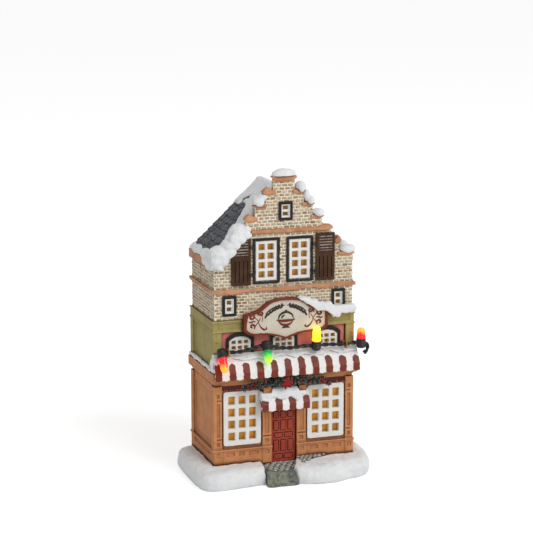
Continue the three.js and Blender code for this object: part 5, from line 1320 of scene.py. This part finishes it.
def makeSign():
    inner = signOutline(sign["border"] - sign["lap"])
    low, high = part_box("sign_board")
    edge = onHouse(low)[1] + sign["proud"]

    def choose(face):
        x, y, z = onHouse(face.center)
        ahead = y > edge - sign["depth"] and face.normal.y < -0.5
        return 1 if ahead and within(inner, x, z) else 0

    castPiece("sign_board", "sign_paint", [finish["border"], finish["sign"]], voxel=0.2, keep=0.7, relax=2,
              wobble=0.08, choose=choose)

    def stroke(line, thick, side=1):
        smooth = catmull([at(side * x, edge - sign["paint"], z) for x, z in line], 4)

        def widthAt(t):
            swell = (1 - sign["thin"]) * math.sin(math.pi * min(1, t * 0.94 + 0.06))
            return thick * mm * (sign["thin"] + swell)
        return smooth, widthAt

    for name, paint, paired, single in (("sign_scrolls", "border", scrolls, dishRed),
                                        ("sign_laurel", "black", laurelStrokes(), dishDark)):
        runs = [stroke(line, thick, side) for side in (-1, 1) for line, thick in paired]
        runs += [stroke(line, thick) for line, thick in single]
        piece = tubePiece(name, runs, 8, (Vector((0, 1, 0)), 0.6))
        markBends(piece.data)
        finishPiece(piece, [finish[paint]], "sign_paint")


makeSign()
print("sign painted")


# Shutter hinges: black iron straps between shutter and window, each with a pin
hinges = dict(gaps=[(-17.4, -14.9), (13.7, 16.2)], levels=[99.6, 112.6], strap=0.36, pin=0.42, pinHalf=0.9,
              pinDepth=-1.65, wave=[(-1.5, 0), (-1.75, 0.1), (-1.35, -0.1), (-0.95, 0)])


def makeHinges():
    skin = bmesh.new()
    for near, far in hinges["gaps"]:
        middle = (near + far) / 2
        for z in hinges["levels"]:
            strap = [at((near * (3 - k) + far * k) / 3, depth, z + rise)
                     for k, (depth, rise) in enumerate(hinges["wave"])]
            pin = [at(middle, hinges["pinDepth"], z + k * hinges["pinHalf"]) for k in (-1, 0, 1)]
            tubeInto(skin, catmull(strap, 5), lambda t: hinges["strap"] * mm, 8)
            tubeInto(skin, catmull(pin, 3), lambda t: hinges["pin"] * mm, 10)
    bmesh.ops.recalc_face_normals(skin, faces=skin.faces)
    piece = linkPiece("shutter_hinges", meshFrom(skin, "shutter_hinges"))
    dress(piece.data)
    finishPiece(piece, [finish["black"]], "black_paint")


makeHinges()


# Garland: needles round a stem, berries at the ends and a red flower in the middle
garland = dict(reach=21.6, level=47.1, plane=-4.9, droop=2.0, sway=0.35, seed=7, needles=2100, thick=1.6,
               shortest=1.1, longest=2.3, stem=0.85, knots=12, rise=0.5, swayPitch=1.9, lean=0.9, root=0.25,
               scatter=0.2, wobble=0.2, ripple=700.0)
flower = dict(middle=-0.8, proud=1.7, rise=0.1, rings=[(6, 3.0, 1.7, 0.2), (5, 2.2, 1.3, 0.6)],
              first=0.2, offset=0.5, bow=0.45, fold=0.22, rows=6, thick=0.28)
berries = dict(count=52, smallest=0.7, largest=1.05, seed=3,
               stretches=[(0.0, 0.16), (0.86, 1.0), (0.1, 0.9)], reach=[(-0.6, 0.6), (1.1, 1.8), (-1.5, 1.2)])


def garlandLine():
    points = []
    for i in range(garland["knots"] + 1):
        t = i / garland["knots"] * 2 - 1
        sway = garland["sway"] * math.sin(i * garland["swayPitch"])
        z = garland["level"] + garland["rise"] - garland["droop"] * t ** 4 + sway
        points.append(at(t * garland["reach"], garland["plane"], z))
    return catmull(points, 12)


def needleShape():
    skin = bmesh.new()
    bmesh.ops.create_cone(skin, cap_ends=True, segments=4, radius1=0.16, radius2=0.03, depth=1.0)
    bmesh.ops.translate(skin, verts=skin.verts, vec=(0, 0, 0.5))
    mesh = meshFrom(skin, "needle_shape")
    along = mesh.attributes.new("along", "FLOAT", "POINT")
    along.data.foreach_set("value", [v.co.z for v in mesh.vertices])
    return linkPiece("needle_shape", mesh)


def needleMaterial():
    def tones(tree, where):
        along = carried(tree, "along")
        tone = carried(tree, "tone")
        body = blend(tree, tone, colour(18, 42, 34), colour(52, 88, 72))
        frosted = times(tree, spread(tree, along, 0.5, 0.95), spread(tree, tone, 0.4, 0.7))
        return blend(tree, frosted, body, colour(196, 206, 204))
    look = dict(paint=(30, 58, 42), washShade=(10, 22, 16), wornAndHighlight=(120, 150, 130), mottle=0.3, washShadeAmount=0.6, wearAndHighlight=0.2)
    return paintMaterial("needle_paint", look, tones)


def makeNeedles(line):
    chance = random.Random(garland["seed"])
    points = []
    for _ in range(garland["needles"]):
        k = chance.randrange(1, len(line) - 1)
        ahead = (line[k + 1] - line[k - 1]).normalized()
        angle = chance.uniform(0, 2 * math.pi)
        side = Vector((0, math.cos(angle), math.sin(angle)))
        lean = (side + ahead * chance.uniform(-garland["lean"], garland["lean"])).normalized()
        length = chance.uniform(garland["shortest"], garland["longest"]) * mm
        turn = lean.to_track_quat("Z", "X").to_euler()
        along = chance.uniform(-garland["scatter"], garland["scatter"])
        spot = line[k] + side * garland["root"] * mm + ahead * along * mm
        points.append((spot, tuple(turn), (garland["thick"] * mm, garland["thick"] * mm, length)))
    setCopies("garland_needles", points, needleShape(), needleMaterial(), "garland_green", ["garland"],
              Seed=garland["seed"], Turn_Chance=0.1, Size_Chance=0.1, Roughen=0.0, Ripple=500.0)


def makeStem(line):
    stem = tubePiece("garland_stem", [(line, lambda t: garland["stem"] * mm)])
    jostle(stem.data, garland["wobble"] * mm, garland["ripple"])
    markBends(stem.data)
    look = dict(paint=(26, 48, 36), washShade=(8, 16, 12), wornAndHighlight=(90, 110, 96))
    finishPiece(stem, [paintMaterial("garland_stem_paint", look)], "garland_green")


def petalInto(skin, centre, angle, length, width, lift):
    # one pointed petal with a fold along its middle
    grid = []
    for i in range(flower["rows"] + 1):
        t = i / flower["rows"]
        half = width * math.sin(math.pi * min(1.0, 0.12 + t * 0.88)) ** 0.8 * 0.5
        reach = length * t
        bow = -lift - flower["bow"] * math.sin(math.pi * t * 0.8)
        row = []
        for side in (-1, 0, 1):
            x = reach * math.cos(angle) - side * half * math.sin(angle)
            z = reach * math.sin(angle) + side * half * math.cos(angle)
            row.append(skin.verts.new(centre + Vector((x, bow + flower["fold"] * abs(side), z)) * mm))
        grid.append(row)
    stretchOver(skin, grid)


def makeFlower():
    skin = bmesh.new()
    centre = at(flower["middle"], garland["plane"] - flower["proud"], garland["level"] + flower["rise"])
    for ring, (count, length, width, lift) in enumerate(flower["rings"]):
        for k in range(count):
            angle = k / count * 2 * math.pi + ring * flower["offset"] + flower["first"]
            petalInto(skin, centre, angle, length, width, lift)
    piece = linkPiece("garland_flower", meshFrom(skin, "garland_flower"))
    thick = piece.modifiers.new("thick", "SOLIDIFY")
    thick.thickness = flower["thick"] * mm
    soft = piece.modifiers.new("soft", "SUBSURF")
    soft.levels = soft.render_levels = 1
    applied(piece)
    dress(piece.data)
    look = dict(paint=(146, 24, 32), washShade=(66, 8, 14), wornAndHighlight=(196, 84, 80), washShadeAmount=0.8, wearAndHighlight=0.5)
    finishPiece(piece, [paintMaterial("flower_paint", look)], "garland_green")


def makeBerries(line):
    chance = random.Random(garland["seed"] + 5)
    skin = bmesh.new()
    bmesh.ops.create_icosphere(skin, subdivisions=2, radius=0.5)
    shape = linkPiece("berry_shape", meshFrom(skin, "berry_shape"))
    points = []
    for _ in range(berries["count"]):
        share = chance.choice([chance.uniform(low, high) for low, high in berries["stretches"]])
        spot = line[min(len(line) - 1, int(share * len(line)))]
        aside, ahead, up = [chance.uniform(low, high) for low, high in berries["reach"]]
        size = chance.uniform(berries["smallest"], berries["largest"]) * mm
        points.append((spot + Vector((aside, -ahead, up)) * mm, (0, 0, chance.uniform(0, 3)), (size,) * 3))
    look = dict(paint=(150, 24, 30), washShade=(64, 8, 12), wornAndHighlight=(230, 120, 110), rough=-0.2, shine=0.6)
    setCopies("garland_berries", points, shape, paintMaterial("berry_paint", look), "garland_green",
              Seed=berries["seed"], Turn_Chance=0.3, Size_Chance=0.1, Roughen=0.0001, Ripple=600.0)


def makeGarland():
    line = garlandLine()
    makeNeedles(line)
    makeStem(line)
    makeFlower()
    makeBerries(line)


makeGarland()
print("garland hung")


# Lamp string: a twisted pair, four ribbed sockets, four lamps
string = dict(plane=-5.2, level=64.0, strand=0.58, offset=0.45, twist=3.6, eyeletInset=1.7, lampProud=0.2)
lamps = dict(
    left=dict(along=-0.945, lift=0.0, up=False, lean=0.62, shows=1.0, slot="lamp_red"),
    green=dict(along=-0.307, lift=2.2, up=False, lean=0.5, shows=0.84, slot="lamp_green"),
    yellow=dict(along=0.417, lift=0.0, up=True, lean=0.1, shows=1.0, slot="lamp_yellow"),
    right=dict(along=1.078, lift=-0.6, up=True, lean=0.0, shows=0.72, slot="lamp_red"),
)
lampGlow = dict(
    lamp_red=dict(cap=(196, 14, 20), body=(232, 24, 22), tip=(255, 138, 30), power=1.6),
    lamp_green=dict(cap=(10, 112, 48), body=(38, 188, 60), tip=(176, 244, 40), power=0.9),
    lamp_yellow=dict(cap=(248, 160, 8), body=(255, 206, 20), tip=(255, 232, 60), power=2.6),
)
socketShape = dict(radius=2.3, length=4.6, ribs=4)
bulbShape = dict(radius=1.95, length=7.2, neck=1.5, gap=0.05, glowFrom=2.6, rings=10)


def wireRoute():
    half = house["half"]

    def spot(along, lift):
        return at(along * half, string["plane"], string["level"] + lift)
    eyelet = (house["panelReach"] - string["eyeletInset"]) / half
    return [spot(*p) for p in [
        (-0.985, 0), (-0.925, 0.1), (-eyelet, 0.2), (-0.7, 0), (-0.49, 1.3), (-0.307, 2.3), (-0.13, 0.6),
        (0.03, 0), (0.23, 0.3), (0.417, 0.1), (0.58, 0.2), (eyelet, -0.4), (0.957, 0), (1.078, 0.2),
        (1.165, -1.2), (1.17, -4), (1.125, -5.4)]]


def plasticMaterial(name, tone, mark, gloss=0.32, amount=0.35, metal=0.0, scale=900.0):
    material, tree, shader, where = startMaterial(name, metallic=metal)
    given = grouped(tree, mouldGrain, Vector=where, Tone=colour(*tone), Mark=colour(*mark), Scale=scale,
                    Amount=amount, Gloss=gloss)
    coat(tree, shader, given, 0.00003)
    return material


blackPlastic = plasticMaterial("black_plastic", (22, 22, 24), (70, 70, 74))
brass = plasticMaterial("brass", (186, 146, 74), (120, 84, 40), gloss=0.28, amount=0.6, metal=1.0)


def makeWire():
    line = catmull(wireRoute(), 14)
    runs, travelled = [[], []], 0.0
    side = Vector((0, 0, 1))
    for i, point in enumerate(line):
        ahead = heading(line, i)
        if i:
            travelled += (point - line[i - 1]).length
        side = (side - ahead * side.dot(ahead)).normalized()
        other = ahead.cross(side)
        angle = travelled / (string["twist"] * mm) * math.pi
        offset = (side * math.cos(angle) + other * math.sin(angle)) * string["offset"] * mm
        runs[0].append(point + offset)
        runs[1].append(point - offset)
    piece = tubePiece("twisted_pair", [(run, lambda t: string["strand"] * mm) for run in runs], 10)
    markBends(piece.data)
    finishPiece(piece, [blackPlastic], "black_plastic", ["string_wire"])


def lampFrame(lamp):
    turn = Matrix.Rotation(-lamp["lean"], 4, "X") @ Matrix.Rotation(math.pi, 4, "X")
    if lamp["up"]:
        turn = Matrix.Rotation(lamp["lean"], 4, "X")
    plane = string["plane"] - string["lampProud"]
    place = at(lamp["along"] * house["half"], plane, string["level"] + lamp["lift"])
    return Matrix.Translation(place) @ turn


def lathe(name, profile, sides=40):
    # a turned shape; the profile's first and last points lie on the axis
    skin = bmesh.new()
    rings = []
    for radius, z in profile:
        if radius < 1e-6:
            rings.append([skin.verts.new((0, 0, z * mm))])
        else:
            rings.append([skin.verts.new((radius * mm * math.cos(a), radius * mm * math.sin(a), z * mm))
                          for a in (k / sides * 2 * math.pi for k in range(sides))])
    for low, high in zip(rings, rings[1:]):
        for k in range(sides):
            n = (k + 1) % sides
            if len(low) == 1:
                skin.faces.new((low[0], high[n], high[k]))
            elif len(high) == 1:
                skin.faces.new((low[k], low[n], high[0]))
            else:
                skin.faces.new((low[k], low[n], high[n], high[k]))
    bmesh.ops.recalc_face_normals(skin, faces=skin.faces)
    mesh = meshFrom(skin, name)
    smoothShade(mesh)
    return linkPiece(name, mesh)


def lampMaterial(name, look, lamp):
    # lit from inside: darker at the cap, brightest at the tip
    material, tree, shader, where = startMaterial(name, roughness=0.18, coat_weight=0.4)
    end = lampFrame(lamp)
    base = end.to_translation()
    up = ((end @ Vector((0, 0, mm))) - base).normalized()
    offset = calcVector(tree, "SUBTRACT", where, tuple(base))
    along = put(tree, "ShaderNodeVectorMath", {0: offset, 1: tuple(up)}, operation="DOT_PRODUCT")
    cloud = spread(tree, grains(tree, where, 500.0, 3), 0.3, 0.7, -0.7 * mm, 0.7 * mm)
    level = plus(tree, along.outputs["Value"], cloud)
    first, length = bulbShape["glowFrom"], bulbShape["length"] * lamp["shows"]
    lower, upper = [spread(tree, level, (first + length * a) * mm, (first + length * b) * mm)
                    for a, b in ((0.15, 0.42), (0.45, 0.78))]
    shade = blend(tree, lower, colour(*look["cap"]), colour(*look["body"]))
    shade = blend(tree, upper, shade, colour(*look["tip"]))
    glow(tree, shader, shade, look["power"])
    fine = grains(tree, where, 900.0, 3)
    plug(tree, shader.inputs["Roughness"], spread(tree, fine, 0.3, 0.7, 0.12, 0.26))
    return material


def socketProfile():
    # a ribbed cup
    radius, length = socketShape["radius"], socketShape["length"]
    profile = [(0, -0.45), (0.62, -0.45), (0.8, -0.42), (0.9, -0.34), (0.97, -0.24)]
    for k in range(socketShape["ribs"]):
        z = -0.2 + k * 0.14
        profile += [(1, z), (1, z + 0.07), (0.9, z + 0.085), (0.9, z + 0.13)]
    profile += [(0.98, 0.38), (1, 0.42), (1, 0.51), (0.95, 0.55), (0.8, 0.55), (0, 0.55)]
    return [(radius * across, length * up) for across, up in profile]


def bulbProfile(shows):
    # a collar, and a blunt dome over it
    base, neck = socketShape["length"] * 0.55 + bulbShape["gap"], bulbShape["neck"]
    radius, dome = bulbShape["radius"], bulbShape["length"] * shows - neck
    profile = [(0, base), (radius * 1.04, base), (radius * 1.12, base + 0.12),
               (radius * 1.12, base + 1.08), (radius * 1.06, base + 1.3), (radius, base + neck)]
    last = bulbShape["rings"] - 1
    for k in range(last + 1):
        angle = k / last * math.pi / 2
        across = radius * math.cos(angle) ** 0.62 if k < last else 0.0
        profile.append((across, base + neck + dome * (0.42 + 0.58 * math.sin(angle))))
    return profile


def makeLamps():
    for name, lamp in lamps.items():
        holder = lathe("socket_" + name, socketProfile())
        glass = lathe("bulb_" + name, bulbProfile(lamp["shows"]))
        for piece in (holder, glass):
            piece.data.transform(lampFrame(lamp))
            piece.data.update()
        markBends(holder.data)
        finishPiece(holder, [blackPlastic], "black_plastic", ["lamp_socket_" + name])
        shine = lampMaterial("lamp_" + name, lampGlow[lamp["slot"]], lamp)
        finishPiece(glass, [shine], lamp["slot"], ["lamp_" + name])


makeWire()
makeLamps()
for side in ("left", "right"):
    castPiece("eyelet_" + side, "brass", [brass], voxel=0.1, keep=1, relax=2, wobble=0.02)
print("lamps lit")


# Amber film behind the windows: its glow is painted light, standing in for the room lamp shining through it
def filmMaterial():
    # stained amber film: its tone drifts from pane to pane; painted shade darkens it round the panes' edges,
    # and its own emission is painted light from the room lamp behind it
    material, tree, shader, where = startMaterial("amber_film", roughness=0.5)
    patch = spread(tree, grains(tree, where, 190.0, 2), 0.38, 0.62)
    stretched = put(tree, "ShaderNodeMapping", {"Vector": where, "Scale": (900.0, 900.0, 120.0)})
    streak = spread(tree, grains(tree, stretched.outputs["Vector"], 1.0, 3), 0.35, 0.7)
    warm = blend(tree, patch, colour(178, 128, 50), colour(214, 144, 44))
    streaked = blend(tree, times(tree, streak, 0.55), warm, colour(140, 92, 32))
    # painted shade: dark brown round the panes' edges, where ambient occlusion finds the bars close
    shade = put(tree, "ShaderNodeAmbientOcclusion", {"Distance": 0.0022}, samples=6).outputs["AO"]
    edge = times(tree, spread(tree, shade, 0.78, 0.36), 0.8, True)
    # the film's own emission is painted light, standing in for the room lamp shining through it
    glow(tree, shader, blend(tree, edge, streaked, colour(84, 60, 30)), 0.5)
    plug(tree, shader.inputs["Roughness"], spread(tree, streak, 0, 1, 0.4, 0.6))
    return material


def setNodeMaterial(node, material):
    for slot in frame["nodes"][node].material_slots:
        slot.material = material


film = filmMaterial()
for node in ("shop_film", "upper_film"):
    setNodeMaterial(node, film)


# Battery box and what it holds
def mouldedPiece(node, slot, material, body="shop", bevel=0.2):
    mesh = reworked(nodeMesh(node), lambda skin: bmesh.ops.dissolve_limit(
        skin, angle_limit=math.radians(1), verts=skin.verts, edges=skin.edges))
    piece = linkPiece(node + "_moulded", mesh)
    edge = piece.modifiers.new("edge", "BEVEL")
    edge.width, edge.segments, edge.limit_method = bevel * mm, 2, "ANGLE"
    edge.angle_limit = math.radians(30)
    edge.use_clamp_overlap = True
    applied(piece)
    smoothShade(piece.data)
    lie = piece.modifiers.new("lie", "WEIGHTED_NORMAL")
    lie.keep_sharp = True
    applied(piece)
    markBends(piece.data)
    finishPiece(piece, [material], slot, [node], body)


def cellMaterial():
    # plain wrap with a dark band at one end
    bandStart = 12.0 * mm
    material, tree, shader, where = startMaterial("cell_steel", metallic=0.75)
    given = grouped(tree, mouldGrain, Vector=where, Tone=colour(176, 178, 182), Mark=colour(120, 122, 128),
                    Scale=700.0, Amount=0.4, Gloss=0.28)
    across = put(tree, "ShaderNodeSeparateXYZ", {0: where}).outputs[0]
    band = calc(tree, "GREATER_THAN", across, bandStart)
    coat(tree, shader, given, 0.00002, blend(tree, band, given["Color"], colour(52, 60, 72)))
    return material


def makeInside():
    mouldedPiece("battery_box", "black_plastic", blackPlastic)
    mouldedPiece("battery_cover", "black_plastic", blackPlastic, "battery_cover")
    mouldedPiece("switch_knob", "black_plastic", blackPlastic, "switch_knob", bevel=0.12)
    mouldedPiece("switch_body", "black_plastic", blackPlastic)
    steel = plasticMaterial("contact_steel", (184, 186, 190), (120, 122, 126), gloss=0.25, amount=0.5,
                            metal=1.0)
    for side in ("left", "right"):
        mouldedPiece("contact_" + side, "cell_steel", steel, bevel=0.08)
    cell = cellMaterial()
    for side in ("front", "rear"):
        mouldedPiece("cell_" + side, "cell_steel", cell, bevel=0.35)
    board = plasticMaterial("board_green", (40, 96, 58), (70, 130, 84), gloss=0.35, amount=0.7, scale=1400.0)
    mouldedPiece("circuit_board", "board_green", board, bevel=0.1)
    lamp, tree, shader, where = startMaterial("lamp_amber", roughness=0.15)
    cloud = spread(tree, grains(tree, where, 400.0), 0.3, 0.7)
    glow(tree, shader, blend(tree, cloud, colour(255, 176, 70), colour(255, 208, 120)), 2.0)
    mouldedPiece("room_lamp", "lamp_amber", lamp, bevel=0.15)


makeInside()
print("battery box fitted")


# Stage: pale floor, soft light from the right, even light all round
light = dict(world=0.52, floorLift=0.46, floorHalf=4.0, aim=(0, 0, 0.07), lamps=[
    dict(name="key", place=(0.55, -1.0, 1.0), size=0.9, power=8.8),
    dict(name="fill", place=(-1.2, -0.9, 0.7), size=1.2, power=0.05),
])


def makeFloor():
    skin = bmesh.new()
    bmesh.ops.create_grid(skin, x_segments=1, y_segments=1, size=light["floorHalf"])
    floor = linkPiece("floor", meshFrom(skin, "floor"))
    material, tree, shader, where = startMaterial("floor", roughness=0.9, specular_ior_level=0.0)
    tint = spread(tree, grains(tree, where, 3.0, 2), 0.2, 0.8)
    plug(tree, shader.inputs["Base Color"], blend(tree, tint, colour(248, 248, 248), colour(250, 250, 250)))
    # the floor looks white to the camera but keeps its shadow
    seen = put(tree, "ShaderNodeLightPath").outputs["Is Camera Ray"]
    shader.inputs["Emission Color"].default_value = (1, 1, 1, 1)
    plug(tree, shader.inputs["Emission Strength"], times(tree, seen, light["floorLift"]))
    floor.data.materials.append(material)


def makeLight():
    for look in light["lamps"]:
        data = bpy.data.lights.new(look["name"], "AREA")
        data.shape, data.size, data.energy = "DISK", look["size"], look["power"]
        lamp = bpy.data.objects.new(look["name"], data)
        bpy.context.scene.collection.objects.link(lamp)
        lamp.location = look["place"]
        lamp.rotation_euler = (Vector(light["aim"]) - lamp.location).to_track_quat("-Z", "Y").to_euler()
    world = bpy.data.worlds.new("world")
    bpy.context.scene.world = world
    world.use_nodes = True
    tree = world.node_tree
    ground = tree.nodes["Background"]
    # the camera sees a white background, brighter than the light that it gives
    rays = put(tree, "ShaderNodeLightPath").outputs
    seen = calc(tree, "MAXIMUM", rays["Is Camera Ray"], rays["Is Transmission Ray"])
    ground.inputs["Color"].default_value = (1, 1, 1, 1)
    plug(tree, ground.inputs["Strength"], spread(tree, seen, 0.0, 1.0, light["world"], 1.0))
    bpy.context.scene.view_settings.view_transform = "Standard"


makeFloor()
makeLight()
for piece in bpy.context.scene.objects:
    if piece.type == "MESH" and not piece.name.startswith("floor"):
        piece.data.validate()
